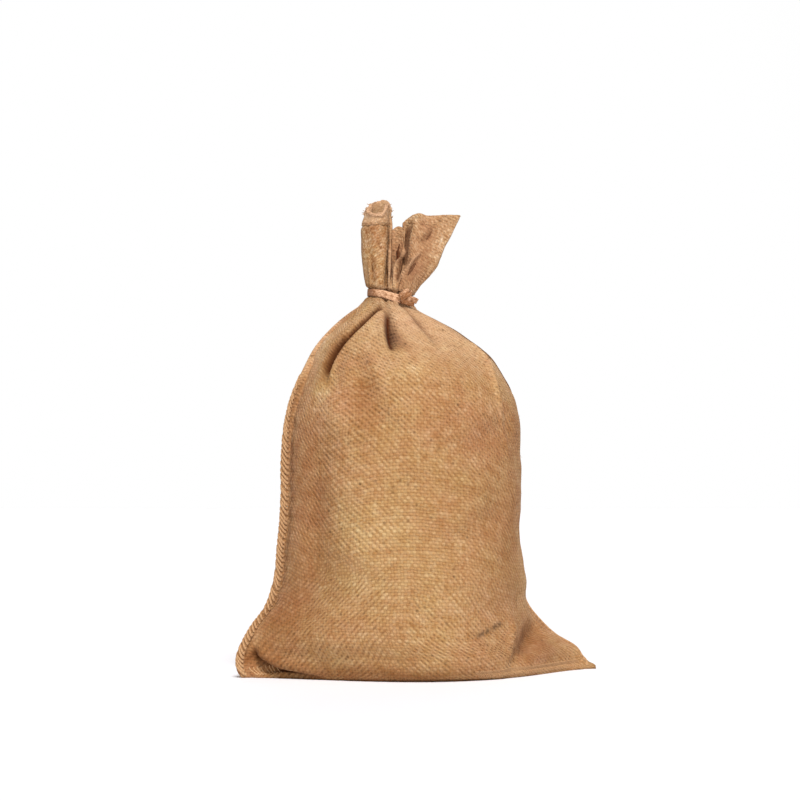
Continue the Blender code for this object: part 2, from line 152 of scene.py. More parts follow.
# Folds and dents of the filled part. Each follows its path of turns and heights, and a minus
# depth is a ridge. right and left are its widths to the right and to the left hand of someone who
# walks along the path on the cloth, lip is how far the cloth swells beside it on the right, and
# tuck is how far that swelling hangs over the fold.
FOLDS = (
    # right, left, lip, tuck, path: turn, height, depth
    (1.7, 2.0, 1.0, 0.4, ((76, 293.5, 5), (67.5, 289.8, 5), (58, 284.8, 4), (52.5, 278.5, 3.6),
     (49, 273, 3.6), (44, 267, 3.6), (39.5, 261, 3.6), (35, 256, 2), (31, 251, 0))),
    (2.8, 2.8, 1.2, 0.8, ((45, 268.5, 0), (42, 265, 3), (38, 260.5, 6), (34, 256, 7.5),
     (30, 250.5, 7.5), (27, 244.5, 6.5), (25.5, 238.5, 4.5), (26.5, 231, 2), (30, 223, 0))),
    (9, 11, 0.0, 0.0, ((48, 264, 0), (38, 251, 2.4), (33, 238, 3), (35, 222, 0))),
    (1.8, 6, 1.6, 0.3, ((74.2, 292, 1.4), (74.6, 287, 1.8), (75, 282, 3.2), (75.2, 277, 6.5),
     (75.4, 271, 10), (75.4, 265.5, 10.5), (75, 260.5, 7), (74.6, 256, 3), (74, 251, 0))),
    (3.0, 6, 0.0, 0.0, ((115, 289, 3.5), (110, 278, 3.5), (110, 262, 2), (108, 245, 0))),
    (8, 8, 0.0, 0.0, ((126, 287, -1), (137, 276, -2.5), (139, 261, -2.5), (138, 246, -2.5),
     (135, 228, -2), (130, 202, 0))),
    (2.6, 2.2, 0.0, 0.0, ((147, 268, 0), (143, 260, -1.6), (140, 248, -2.0), (134, 236, -2.2),
     (130, 224, -2.2), (130, 212, -2.0), (131, 200, -1.6), (134, 185, -1), (137, 166, 0))),
    (9, 10, 0.0, 0.0, ((40, 252, 0), (46, 245, 3), (52, 232, 4.4), (57, 215, 4.2), (64, 196, 3),
     (69, 176, 0))),
    (7, 9, 0.0, 0.0, ((74, 262, 0), (67, 250, 2.2), (64, 236, 2), (63, 222, 0))),
    (11, 11, 0.0, 0.0, ((34, 222, 0), (38, 206, -2.6), (42, 190, -1.6), (44, 176, 0))),
    (14, 20, 0.0, 0.0, ((25, 205, 0), (27, 172, 3.6), (28, 131, 5), (30, 84, 4.6), (33, 54, 3),
     (38, 30, 0))),
    (16, 12, 0.0, 0.0, ((56, 175, 0), (56, 150, -1.8), (58, 110, -2.4), (64, 70, 0))),
    (11, 12, 0.0, 0.0, ((140, 206, 0), (132, 198, 2.6), (118, 188, 2.4), (102, 178, 1),
     (96, 170, 0))),
    (12, 14, 0.0, 0.0, ((136, 150, 0), (127, 132, 2.6), (118, 122, 2.8), (107, 108, 1.4),
     (98, 96, 0))),
    (2.8, 7, 3.0, 2.5, ((52, 1, 0), (40, 4, 5), (33, 7, 7.5), (26, 12, 8), (20, 17, 6),
     (13, 24, 0))),
    (9, 9, 0.0, 0.0, ((166, 42, 0), (154, 36, 5), (140, 31, 8), (129, 24, 8), (119, 17, 6),
     (110, 8, 0))),
    (4.5, 5, 0.0, 0.0, ((131, 48, 0), (128, 39, -2.0), (123, 30, -2.6), (116, 20, -2.2),
     (110, 6, 0))),
    (3.5, 9, 2.0, 0.0, ((246, 289, 3), (243, 279, 8), (238, 264, 10), (233, 248, 5),
     (229, 232, 0))),
    (3.5, 8, 1.5, 0.0, ((288, 289, 3), (292, 278, 7), (299, 263, 8), (306, 246, 4),
     (311, 230, 0))),
    (4, 6, 0.0, 0.0, ((267, 289, 2), (267, 276, 5), (266, 262, 4), (264, 248, 0))),
    (15, 15, 0.0, 0.0, ((303, 205, 0), (297, 160, 3), (300, 105, 3), (306, 62, 0))),
    (8, 8, 0.0, 0.0, ((200, 44, 0), (208, 36, 5), (224, 28, 8), (238, 18, 6), (250, 7, 0))),
    (8, 8, 0.0, 0.0, ((347, 40, 0), (336, 33, 4), (324, 25, 6), (312, 15, 5), (300, 5, 0))),
)

# Soft-edged places painted lighter (plus) or darker (minus): painted light and shade, and other
# lighter and darker places. spread is in degrees of turn and rise in millimetres.
PAINTED_LIGHT_SHADE_AND_TONE = (
    # turn, height, spread, rise, tone
    # painted light at the left shoulder and right under the tie
    (9, 256, 16, 20, 0.26), (10, 250, 10, 14, 0.20), (12, 266, 12, 9, 0.26),
    (28, 277, 10, 8, 0.32), (38, 292, 26, 5, 0.18), (128, 292, 30, 5, 0.20),
    (29, 216, 9, 13, 0.26),
    # painted shade along the long crease from the tie down to the left shoulder
    (28, 229, 5, 6, -0.18), (57, 285, 2.4, 2.6, -0.20), (53, 280.5, 2.2, 3, -0.28),
    (49.5, 275.5, 2.2, 3, -0.36), (46, 271, 2.3, 3, -0.42), (42.5, 266.5, 2.3, 3.4, -0.42),
    (39.5, 263, 2.6, 4, -0.34), (36, 259, 3, 4, -0.44), (32, 255, 3, 4, -0.50),
    (28.5, 250, 3, 4, -0.50), (25.5, 245, 3, 4, -0.46), (24, 239, 3, 4, -0.30),
    # painted light on the swells between the creases
    (44, 279, 9, 7, 0.20), (62, 271, 6, 9, 0.16), (67, 240, 9, 7, 0.22), (80, 284, 24, 9, 0.18),
    (86, 287, 12, 5, 0.12), (86, 241, 10, 10, 0.14),
    # painted shade in the pit in front of the tie and round it
    (77.5, 269, 2.8, 8, -0.46), (81, 266, 4, 7, -0.32), (84, 259, 7, 7, -0.24),
    (97, 247, 9, 10, -0.14), (118, 262, 9, 10, -0.08),
    # down both panels: painted shade on the side that turns from the light, and other lighter and
    # darker places
    (65, 186, 10, 14, -0.13), (54, 230, 7, 15, -0.17), (52, 221, 6, 12, -0.22),
    (57, 203, 7, 18, -0.20), (46, 150, 9, 28, 0.10), (158, 248, 17, 20, 0.32),
    (168, 240, 12, 18, 0.30), (96, 196, 10, 18, -0.08), (129, 182, 12, 14, -0.14),
    (99, 156, 12, 10, -0.09), (112, 140, 14, 30, -0.05), (121, 122, 12, 16, -0.13),
    (138, 140, 9, 45, -0.16), (130, 84, 14, 26, -0.20), (144, 196, 8, 20, -0.16),
    (20, 180, 8, 20, -0.16), (26, 125, 12, 46, -0.25), (34, 146, 8, 24, -0.08),
    (30, 86, 9, 18, -0.10), (20, 74, 11, 16, -0.10), (6, 12, 8, 6, -0.18), (44, 88, 8, 16, -0.12),
    (60, 112, 14, 24, 0.13), (85, 52, 22, 18, 0.06), (22, 52, 12, 18, -0.28),
    (29, 35, 10, 12, -0.14), (142, 112, 10, 40, -0.06),
    # painted shade along the bottom edge and in its corners, and a few lighter places
    (128, 20, 14, 11, -0.26), (152, 37, 8, 7, -0.12), (150, 22, 8, 6, 0.10),
    (62, 10, 14, 5, -0.10), (34, 15, 8, 8, -0.22), (36, 38, 12, 16, -0.20),
    (16, 17, 14, 10, -0.48), (56, 4, 24, 7, -0.34), (84, 3, 16, 7, -0.30),
    (144, 33, 12, 11, -0.36), (159, 68, 12, 12, 0.16), (170, 14, 8, 8, 0.12),
    # the mouth: painted shade between its pleats, and painted light on its swells and hems
    (99, 339, 9, 14, -0.46), (80.5, 322, 3.5, 28, -0.36), (90, 332, 8, 20, -0.20),
    (18, 345, 10, 22, 0.16), (2, 335, 9, 30, -0.16), (40, 325, 10, 22, -0.08),
    (66, 370, 12, 6, 0.14), (148, 352, 10, 7, -0.10), (122, 308, 12, 7, -0.14),
    (113, 354, 5, 5, -0.45), (118, 349, 4, 6, -0.36), (140, 332, 30, 26, -0.17),
    (106, 320, 16, 18, -0.30), (132, 322, 16, 16, -0.37), (128, 313, 12, 7, -0.12),
    (48, 324, 9, 9, -0.12), (158, 322, 12, 12, -0.34), (145, 347, 8, 10, -0.24),
    (138, 356, 12, 4, -0.24), (124, 360, 10, 6, 0.14), (174, 340, 12, 18, 0.46),
    (20, 345, 16, 26, 0.08), (45, 348, 30, 9, -0.06), (55, 330, 8, 26, 0.08),
    (50, 372, 60, 10, 0.16),
    # here and there: painted shade beside the short crease, and other lighter and darker places
    (82.5, 264, 5.5, 10, -0.46), (39, 206, 8, 11, 0.13), (145, 236, 14, 15, 0.12),
    (152, 84, 9, 26, 0.12), (164, 363, 12, 7, -0.28), (136, 324, 10, 10, -0.16),
    (236, 190, 26, 32, -0.08), (300, 110, 20, 40, -0.08),
)

# Where the jute is rosier (plus) or more olive (minus) than elsewhere.
HUES = (
    # turn, height, spread, rise, hue
    (78, 95, 34, 62, -0.32), (46, 100, 12, 40, -0.20), (27, 229, 7, 12, -0.60),
    (79, 262, 11, 10, -0.45), (22, 250, 10, 16, -0.30), (172, 150, 22, 90, 0.42),
    (12, 130, 14, 90, 0.20), (44, 200, 12, 20, 0.20), (112, 190, 20, 22, 0.25),
    (30, 276, 16, 12, 0.20), (150, 335, 40, 30, 0.22), (60, 370, 50, 8, 0.20),
    (28, 60, 12, 24, 0.10),
)

# The gathered neck: how wide it is at a distance along its axis from the tie's middle.
NECK = (
    # offset, side radius, front radius
    (-7.0, 20.9, 19.2),
    (-5.4, 19.9, 18.2),
    (-4.4, 18.9, 17.2),
    (-3.5, 17.5, 15.9),
    (0.0,  17.1, 15.5),
    (3.5,  17.5, 15.9),
    (4.4,  18.8, 17.2),
    (6.0,  19.6, 17.9),
)
# The same distances for its mesh rings.
NECK_ROWS = (-7.0, -6.2, -5.4, -4.8, -4.3, -3.8, -3.2, -1.8,
             0.0, 1.8, 3.2, 3.8, 4.3, 4.8, 5.4, 6.0)

# The mouth's rim, in the mouth's own turn: its place to the side and to the front of the neck's
# axis, and its height. spread is how soon the cloth opens out on its way up from the tie, and
# pinch how far the neck is drawn in below it.
MOUTH = (
    # turn, side, front, rim, spread, pinch
    (4,   -23.2,   2.0, 366.0,  4.0, 0.0),
    (16,  -22.0,   7.5, 369.0,  4.0, 0.0),
    (28,  -18.8,  11.3, 367.0,  4.0, 0.0),
    (40,  -14.8,  13.5, 364.6,  3.5, 0.0),
    (52,  -10.0,  14.0, 364.2,  3.0, 0.0),
    (61,   -6.2,  13.0, 365.5,  3.0, 0.0),
    (68,   -3.4,  10.5, 371.0,  2.6, 0.5),
    (73,   -2.2,   6.5, 373.5,  2.2, 2.5),
    (77,   -1.6,   3.0, 370.5,  2.0, 4.4),
    (81,    0.2,   4.5, 359.0,  2.0, 3.0),
    (86,   -0.2,   8.5, 352.5,  2.0, 0.5),
    (92,    1.8,   5.0, 353.5,  2.0, 2.6),
    (100,   6.5,   6.0, 356.0,  2.0, 0.5),
    (108,  12.0,   9.0, 354.5,  1.6, 0.0),
    (116,  11.0,   2.5, 360.0,  1.6, 4.2),
    (127,  21.0,   8.5, 366.0,  1.4, 0.0),
    (141,  30.6,   7.3, 364.2, 1.35, 0.0),
    (154,  39.5,   5.5, 365.0,  1.3, 0.0),
    (180,  55.5,   0.5, 365.5, 1.25, 0.0),
    (206,  40.0,  -4.0, 363.0,  1.4, 0.0),
    (222,  24.0,  -6.5, 360.0,  1.6, 0.0),
    (232,  14.0,  -7.0, 355.0,  2.0, 3.0),
    (244,  20.0, -17.0, 355.0,  2.0, 0.0),
    (256,   7.0,  -9.0, 350.0,  2.0, 3.0),
    (268,   7.0, -21.0, 349.0,  2.0, 0.0),
    (280,   1.5,  -8.0, 354.0,  2.0, 3.0),
    (288,  -0.4, -11.5, 371.0,  2.6, 0.5),
    (296,  -2.4, -13.0, 377.0,  3.0, 0.0),
    (316, -11.0, -12.5, 377.0,  3.0, 0.0),
    (336, -19.0,  -7.5, 372.5,  4.0, 0.3),
    (350, -22.6,  -2.5, 367.0,  4.0, 0.3),
)
TUFT_LEAN = 4.2             # how far the tuft's left edge leans in
TUFT_LEANS = (0.74, 1.04)   # over these shares of the way up
TUFT_EDGE = (-14, -23)      # and between these places to the side
MOUTH_ROWS = 56             # mesh rings from the tie to the rim
INNER_ROWS = 30             # and back down inside
ROLL_ROWS = 3               # how many of those round the rim off
INNER_DEPTH = 0.85          # how far down the mouth its inner wall is made
HEM_WIDTH = 6.6             # from the rim to the hem's stitches
HEM_LEVEL = 363.8           # the height that the tuft's hem is measured down from
HEM_SWELL = 0.8             # how much the folded hem stands out
HEM_TURN_IN = 1.1           # and how much thicker it is at the tuft
RIM_ROUGH = (0.6, 1.0)      # shares of the way up over which the rim gets uneven
WARP_CLOSER = 0.12          # how much closer the threads lie at the neck and the mouth
WEFT_CLOSER = 0.10

# Painted shade, wear and bleaching above the belly, and painted light on the shoulders, as shares.
NECK_SHADE = 0.22
INSIDE_SHADE = 0.5          # inside the mouth, below the hem
# painted shade inside the mouth, as a darker tone
INSIDE_TONE = -0.18
DARKEST_TONE = -0.8
MOUTH_LEAN = 0.3            # how the weave leans above the belly
MOUTH_ASKEW = 0.6           # and how far it is askew
BELLY_WEAR = 0.18           # the mouth is worn through and through
# painted light on the shoulders
SHOULDER_PAINTED_LIGHT = 0.33
FLAP_PALE, FLAP_HEM_PALE = 0.20, 0.02   # the flap, and how much more its hem
TUFT_PALE, TUFT_HEM_PALE = 0.03, 0.28   # and the same of the tuft

# Folds of the mouth's pleats: like FOLDS, but along turns and shares of the way up.
PLEATS = (
    # right, left, lip, tuck, path: turn, share, depth
    (1.2, 1.2, 0.0, 0.0, ((83.5, 0.74, 0), (84.5, 0.62, -1.6), (85.3, 0.41, -2.2),
     (85.3, 0.05, -1.6))),
    (1.6, 1.6, 0.0, 0.0, ((80.5, 0.6, 0), (81, 0.42, 2.2), (81.5, 0.22, 2.8), (81.5, 0.02, 2.0))),
    (1.5, 1.5, 0.0, 0.0, ((109.5, 0.67, 0), (108.6, 0.59, -2.0), (105, 0.5, -2.8),
     (100.5, 0.41, -2.8), (97, 0.3, -2.4), (97.5, 0.07, -1.4))),
    (1.6, 1.6, 0.0, 0.0, ((90, 0.66, 1.0), (90.5, 0.45, 1.6), (91, 0.25, 1.8), (91.5, 0.04, 1.4))),
    (1.7, 2.4, 0.0, 0.0, ((121, 0.88, 2.2), (119, 0.72, 3.4), (115, 0.56, 4.8), (111, 0.43, 5.0),
     (107.5, 0.29, 4.3), (105, 0.12, 1.6))),
    (1.2, 1.4, 0.0, 0.0, ((139, 0.54, 0), (136.6, 0.48, -1.8), (130.8, 0.41, -2.6),
     (126, 0.32, -2.6), (119, 0.2, -2.4), (110, 0.1, -1.2))),
    (5.0, 3.4, 0.0, 0.0, ((148, 0.5, 0), (138, 0.36, 1.8), (131, 0.25, 2.2), (124, 0.12, 1.0))),
    (1.6, 1.9, 0.0, 0.0, ((152, 0.88, 0), (148.5, 0.79, 1.3), (144.5, 0.7, 1.5), (140, 0.62, 0.9),
     (138, 0.56, 0))),
    (1.5, 1.7, 0.0, 0.0, ((146, 0.84, 0), (142, 0.74, 1.1), (137.5, 0.65, 1.2), (134, 0.56, 0))),
    (2.4, 3.2, 0.0, 0.0, ((127, 0.96, 0.5), (132, 0.88, 1.6), (138, 0.85, 1.0), (143, 0.85, 0))),
    (9.0, 9.0, 0.0, 0.0, ((180, 0.1, 0), (180, 0.22, -2.0), (180, 0.36, -2.6), (180, 0.5, -1.0),
     (180, 0.6, 0))),
    (2.4, 3.0, 0.0, 0.0, ((46, 0.02, 1.2), (41, 0.2, 1.2), (35, 0.42, 0.8), (30, 0.6, 0))),
    (3.0, 3.0, 0.0, 0.0, ((24, 0.02, 1.0), (20, 0.25, 0.8), (18, 0.5, 0))),
    (2.5, 3.0, 0.0, 0.0, ((64, 0.95, 0), (62, 0.75, 0.9), (60, 0.5, 0.9), (61, 0.2, 0))),
)


# ---------------------------------------------------------------- curves through tables
def smooth(knots, values, at):
    """Values at the places at, on a smooth curve through the knots."""
    knots = np.asarray(knots, float)
    values = np.asarray(values, float)
    slopes = np.gradient(values, knots)
    place = np.clip(np.searchsorted(knots, at) - 1, 0, len(knots) - 2)
    span = knots[place + 1] - knots[place]
    u = np.clip((at - knots[place]) / span, 0, 1)
    return (
        values[place] * (1 + 2 * u) * (1 - u) ** 2
        + values[place + 1] * (3 - 2 * u) * u ** 2
        + slopes[place] * span * u * (1 - u) ** 2
        - slopes[place + 1] * span * (1 - u) * u ** 2
    )


def ease(low, high, at):
    """0 below low, 1 above high, and a soft step between."""
    u = np.clip((at - low) / (high - low), 0, 1)
    return u * u * (3 - 2 * u)


def between(start, full, fading, gone, at):
    """0 before start and past gone, 1 from full to fading, and soft steps between."""
    return ease(start, full, at) * (1 - ease(fading, gone, at))


def column(table, index):
    """One column of a table."""
    return [row[index] for row in table]


def closed_table(table, index):
    """Turns and one column of a table that runs round the neck, repeated past both ends."""
    turns = column(table, 0)
    values = column(table, index)
    turns = [t - 360 for t in turns[-3:]] + turns + [t + 360 for t in turns[:3]]
    return turns, values[-3:] + values + values[:3]


def ripples(points, size, seed, count=14):
    """Soft random swells from -1 to 1 at points, each about size across."""
    chance = np.random.default_rng(seed)
    total = np.zeros(points.shape[:-1])
    for _ in range(count):
        heading = chance.normal(size=points.shape[-1])
        heading *= 2 * math.pi / (size * chance.uniform(0.8, 1.6) * np.linalg.norm(heading))
        total += np.sin(points @ heading + chance.uniform(0, 2 * math.pi))
    return np.clip(total / math.sqrt(count), -1.5, 1.5) / 1.5


def on_line(at, places, line):
    """Points at the places at of a line whose own points lie at places."""
    return np.stack([np.interp(at, places, line[:, k]) for k in range(3)], axis=1)


def unit(vectors):
    """The same vectors, each of length one."""
    return vectors / np.maximum(np.linalg.norm(vectors, axis=-1, keepdims=True), 1e-9)


def run_length(path):
    """How far along a path each of its points lies."""
    return np.concatenate([[0], np.cumsum(np.linalg.norm(np.diff(path, axis=0), axis=1))])


# ---------------------------------------------------------------- the cloth's rings
def ring_columns():
    """Turns round the belly and round the neck, the side and the seam share of each column."""
    step = np.linspace(0, 180, PANEL_COLUMNS + 1)
    squeezed = SEAM_SPREAD + step * (180 - 2 * SEAM_SPREAD) / 180
    share, thick = (np.array(column(FIN_SECTION, i)) for i in range(2))
    count = len(FIN_SECTION)
    across = SEAM_SPREAD * np.linspace(-0.75, 0.75, count)
    belly = np.concatenate([step, np.full(count, 180.0), 180 + step, np.full(count, 360.0)])
    neck = np.concatenate([squeezed, 180 + across, 180 + squeezed, 360 + across])
    panel = np.zeros(PANEL_COLUMNS + 1)
    side = np.concatenate([panel + 1, thick, panel - 1, -thick])
    fin = np.concatenate([panel, share, panel, share])
    return belly, neck, side, fin


def belly_points(heights, turns, side, fin):
    """Places on the filled part before it is folded: two bulging panels and a seam at each side."""
    left, right, front, back, crown = (
        smooth(column(BELLY, 0), column(BELLY, i), heights) for i in range(1, 6))
    around = np.radians(turns)
    bulge = np.abs(np.sin(around)) ** (2 * crown)
    reach = np.where(side > 0, front, back) * bulge + np.abs(side) * FIN_THICKNESS / 2
    on_floor = ease(BOTTOM_SEAM_HEIGHT + 1, BOTTOM_SEAM_HEIGHT - 1, heights)
    shows = sum(between(*run, turns) for run in BOTTOM_SEAM_SHOWS)
    reach = reach + BOTTOM_SEAM_OUT * on_floor * shows
    x = (left + right) / 2 - (right - left) / 2 * np.cos(around)
    y = -np.sign(side) * reach

    loss = np.where(turns == 180, RIGHT_FIN_LOSS, LEFT_FIN_LOSS)
    width = FIN_WIDTH * (1 - loss * ease(*FIN_NARROWS, heights))
    fold = math.radians(RIGHT_FIN_FOLD) * ease(*FIN_FOLDS_FROM, heights)
    fold = fold * (1 - TUCKED_LOSS * ease(TUCKED_FROM + 2, TUCKED_FROM + 26, heights))
    on_right = np.cos(around) < 0
    x = x + fin * np.where(on_right, width * np.cos(fold) + FIN_TAIL * on_floor, -width)
    y = y + fin * np.where(on_right, width * np.sin(fold), 0)

    # towards the tie the belly takes up the neck's turn and slope
    turned = NECK_TURN * ease(*TURNS_IN, heights)
    dx, dy = x - NECK_PLACE[0], y - NECK_PLACE[1]
    x = NECK_PLACE[0] + dx * np.cos(turned) - dy * np.sin(turned)
    y = NECK_PLACE[1] + dx * np.sin(turned) + dy * np.cos(turned)
    z = heights - NECK_SLOPE * ease(*SLOPES_IN, heights) * (x - NECK_PLACE[0])
    return np.stack([x, y, z], axis=-1)


def to_sack(sideways, frontways, up):
    """Points given from the neck's axis, in the mouth's own turn, placed on the sack."""
    x = NECK_PLACE[0] + sideways * math.cos(NECK_TURN) + frontways * math.sin(NECK_TURN)
    y = NECK_PLACE[1] + sideways * math.sin(NECK_TURN) - frontways * math.cos(NECK_TURN)
    return np.stack([x, y, up], axis=-1)


def neck_outline(offset, turns):
    """The gathered neck at a distance along its axis, as sideways and frontways places."""
    across, through = (smooth(column(NECK, 0), column(NECK, i), offset) for i in (1, 2))
    shrink = 1 - np.maximum(smooth(*closed_table(MOUTH, 5), turns), 0) / across
    # uneven puckers, which the tape presses flat
    around = np.radians(turns)
    puckers = np.cos(19 * around + 2 * np.sin(2 * around)) + 0.6 * np.cos(31 * around + 1)
    shrink = shrink * (1 + NECK_PUCKER * ease(*PAST_TAPE, np.abs(offset)) * puckers)
    return -across * shrink * np.cos(around), through * shrink * np.sin(around)


def neck_ring(offset, turns):
    """One ring of the gathered neck, which slopes with the tie."""
    sideways, frontways = neck_outline(offset, turns)
    return to_sack(sideways, frontways, NECK_HEIGHT + offset - NECK_SLOPE * sideways)


def mouth_ring(share, turns, inset=0.0):
    """One ring of the pleated mouth, share of the way from the tie to the rim."""
    start = NECK[-1][0]
    low_side, low_front = neck_outline(start, turns)
    rim_side, rim_front, rim, spread = (smooth(*closed_table(MOUTH, i), turns)
                                        for i in range(1, 5))
    opened = 1 - (1 - share) ** spread
    sideways = low_side + opened * (rim_side - low_side)
    frontways = low_front + opened * (rim_front - low_front)
    sideways = sideways + TUFT_LEAN * ease(*TUFT_LEANS, share) * ease(*TUFT_EDGE, rim_side)
    low = NECK_HEIGHT + start - NECK_SLOPE * low_side
    along = np.roll(sideways, -1) - np.roll(sideways, 1)
    across = np.roll(frontways, -1) - np.roll(frontways, 1)
    length = np.hypot(along, across)
    sideways = sideways + inset * across / length
    frontways = frontways - inset * along / length
    return to_sack(sideways, frontways, low + share * (rim - low))


# ---------------------------------------------------------------- folds
def surface_normals(grid):
    """Outward directions at the points of a grid of rings."""
    upward = np.gradient(grid, axis=0)
    onward = np.roll(grid, -1, axis=1) - np.roll(grid, 1, axis=1)
    return unit(np.cross(onward, upward))


# The shape that every fold shares, in its own widths.
LIP_AT, LIP_WIDTH = 2.6, 1.7            # the swelling beside it
TUCK_FULL, TUCK_WIDTH = 1.4, 3.4        # and how that hangs over it
CREASE_RIGHT, CREASE_LEFT = 1.5, 0.9    # how far to each hand the crease is painted dark
DEEP_FOLD = 6               # millimetres: from this depth the swelling is full
WIDE_FOLD = 3.4             # and from this width the painted shade of the crease stays as narrow as it is
CREASED = (0.5, 1.8)        # depth to width of a fold without a crease, and with a sharp one


def fold_moves(grid, normals, rows, turns, fold, route):
    """How far one fold draws in and slides each point, and its painted shade (a minus is painted
    highlight).
    """
    right, left, lip, tuck, path = fold
    path = np.array(path, float)
    nearest = np.full(grid.shape[:2], 1e9)
    depth = np.zeros(grid.shape[:2])
    hand = np.zeros(grid.shape[:2])
    heading = np.zeros(grid.shape)
    for i in range(len(path) - 1):
        run = route[i + 1] - route[i]
        share = np.clip((grid - route[i]) @ run / (run @ run), 0, 1)
        away = np.linalg.norm(grid - route[i] - share[..., None] * run, axis=2)
        d_turn, d_row, d_depth = path[i + 1] - path[i]
        at_turn, at_row, at_depth = (path[i, k] + share * by
                                     for k, by in enumerate((d_turn, d_row, d_depth)))
        turned = (turns - at_turn) * d_row - (rows - at_row) * d_turn
        closer = away < nearest
        nearest = np.where(closer, away, nearest)
        depth = np.where(closer, at_depth, depth)
        hand = np.where(closer, turned, hand)
        heading = np.where(closer[..., None], run / np.linalg.norm(run), heading)
    on_right = hand > 0
    trough = depth * np.exp(-(nearest / np.where(on_right, right, left)) ** 2)
    beside = np.where(on_right, np.clip(depth / DEEP_FOLD, 0, 1), 0)
    swell = lip * beside * np.exp(-((nearest - LIP_AT * right) / (LIP_WIDTH * right)) ** 2)
    over = tuck * beside * ease(0, TUCK_FULL * right, nearest)
    over = over * np.exp(-(nearest / (TUCK_WIDTH * right)) ** 2)
    blunt, keen = CREASED
    steep = np.clip((np.abs(depth) / right - blunt) / (keen - blunt), 0, 1)
    reach = np.where(on_right, CREASE_RIGHT * min(right, WIDE_FOLD),
                     CREASE_LEFT * min(left, WIDE_FOLD))
    sharp = np.sign(depth) * steep * np.exp(-(nearest / reach) ** 2)
    return trough - swell, over[..., None] * np.cross(normals, heading), sharp


def folded(grid, rows, turns, folds, route_of):
    """The grid's normals, and what a table of folds does to it: how far each point is drawn in,
    how it slides, and how much painted shade it gets in a crease and painted highlight on a ridge."""
    normals = surface_normals(grid)
    depths, sharps, slide = [], [], 0
    for fold in folds:
        route = route_of(np.array(fold[-1], float))
        depth, moved, sharp = fold_moves(grid, normals, rows, turns, fold, route)
        depths.append(depth)
        sharps.append(sharp)
        slide = slide + moved
    # troughs that cross don't add up, and ridges do
    depths, sharps = np.stack(depths), np.stack(sharps)
    depth = np.maximum(depths, 0).max(axis=0) + np.minimum(depths, 0).sum(axis=0)
    crease, ridge = (np.maximum(sharp, 0).max(axis=0) for sharp in (sharps, -sharps))
    return normals, depth, slide, crease, ridge


def belly_route(path):
    """The places on the belly of a fold's turns and heights."""
    side = np.where(path[:, 0] <= 180, 1, -1)
    return belly_points(path[:, 1], path[:, 0], side, 0 * side)


def belly_creases(grid, heights, turns, fin, crease):
    """Painted shade in the folds' creases, on the tucked seam, in needle holes and under stitches.
    """
    # the right seam is tucked in behind the shoulder, in its own shade
    crease = np.where((fin > 0) & (turns > 90) & (turns < 270),
                      TUCKED_SHADE * ease(TUCKED_FROM - 10, TUCKED_FROM + 6, heights), crease)
    # painted shade in the needle's holes beside the left seam
    holes = 0.30 + 0.45 * ripples(grid, 5, seed=25)
    holes = holes * np.exp(-((turns - NEEDLE_TURN) / NEEDLE_SPREAD) ** 2)
    crease = np.maximum(crease, holes * between(8, 20, 195, 215, heights))
    return np.maximum(crease, STITCH_SHADE * (fin > 0) * (1 - ease(215, 240, heights)))


def belly_unevenness(grid, heights, turns):
    """How far the gathers, the slack cloth and the pucker beside the seams draw the belly in."""
    wander = 9 * ripples(grid, 70, seed=3)
    gather = 0.5 + 0.5 * np.cos(np.radians(turns * GATHERS + wander))
    on_belly = between(4, 18, 262, 286, heights)
    slack = 0.9 * ripples(grid, 46, seed=11) + 0.35 * ripples(grid, 17, seed=12)
    from_seam = np.minimum(np.abs((turns + 90) % 180 - 90), 30)
    pucker = np.exp(-(from_seam / 9) ** 2) * (1 - np.exp(-(from_seam / 2) ** 2))
    pucker = pucker * np.sin(2 * math.pi * heights / SEAM_PUCKER + wander / 3)
    return (GATHER_DEPTH * ease(*GATHERED, heights) * gather
            + on_belly * (slack + SEAM_PUCKER_DEPTH * pucker))


def thread_marks(grid, heights, turns):
    """How the weave of the belly hangs, and the gap of the pulled thread."""
    on_front = (turns <= 180) * 1.0
    lean = np.where(on_front > 0, ease(86, 64, turns) * ease(108, 72, heights),
                    ease(0.1, 0.5, ripples(grid, 130, seed=22)))
    # a weft thread has been pulled out along a short slanting line
    start, end = (np.array(PULLED_THREAD[i]) * (PULLED_SCALE, 1) for i in (0, 1))
    here = np.stack([turns * PULLED_SCALE, heights], axis=-1) - start
    share = np.clip(here @ (end - start) / ((end - start) @ (end - start)), 0, 1)
    away = np.linalg.norm(here - share[..., None] * (end - start), axis=2)
    pulled = on_front * np.exp(-(away / PULLED_WIDTH) ** 2)
    # the cloth hangs square in the middle of each panel, and askew at corners and shoulders
    middle = ((turns % 180 - 88) / 42) ** 2 + ((heights - 125) / 80) ** 2
    askew = 1.15 - 0.8 * np.exp(-middle) + 0.25 * ripples(grid, 55, seed=23)
    beside_seams = 0.55 + 0.45 * ease(12, 34, turns % 180) * ease(172, 150, turns % 180)
    askew = np.clip(askew * beside_seams, 0.2, 1.3)
    # but less so on the left shoulder, where it is pulled tight
    askew = askew * (1 - 0.6 * ease(38, 18, turns) * ease(215, 245, heights))
    return {"lean": lean, "pulled": pulled, "askew": askew}


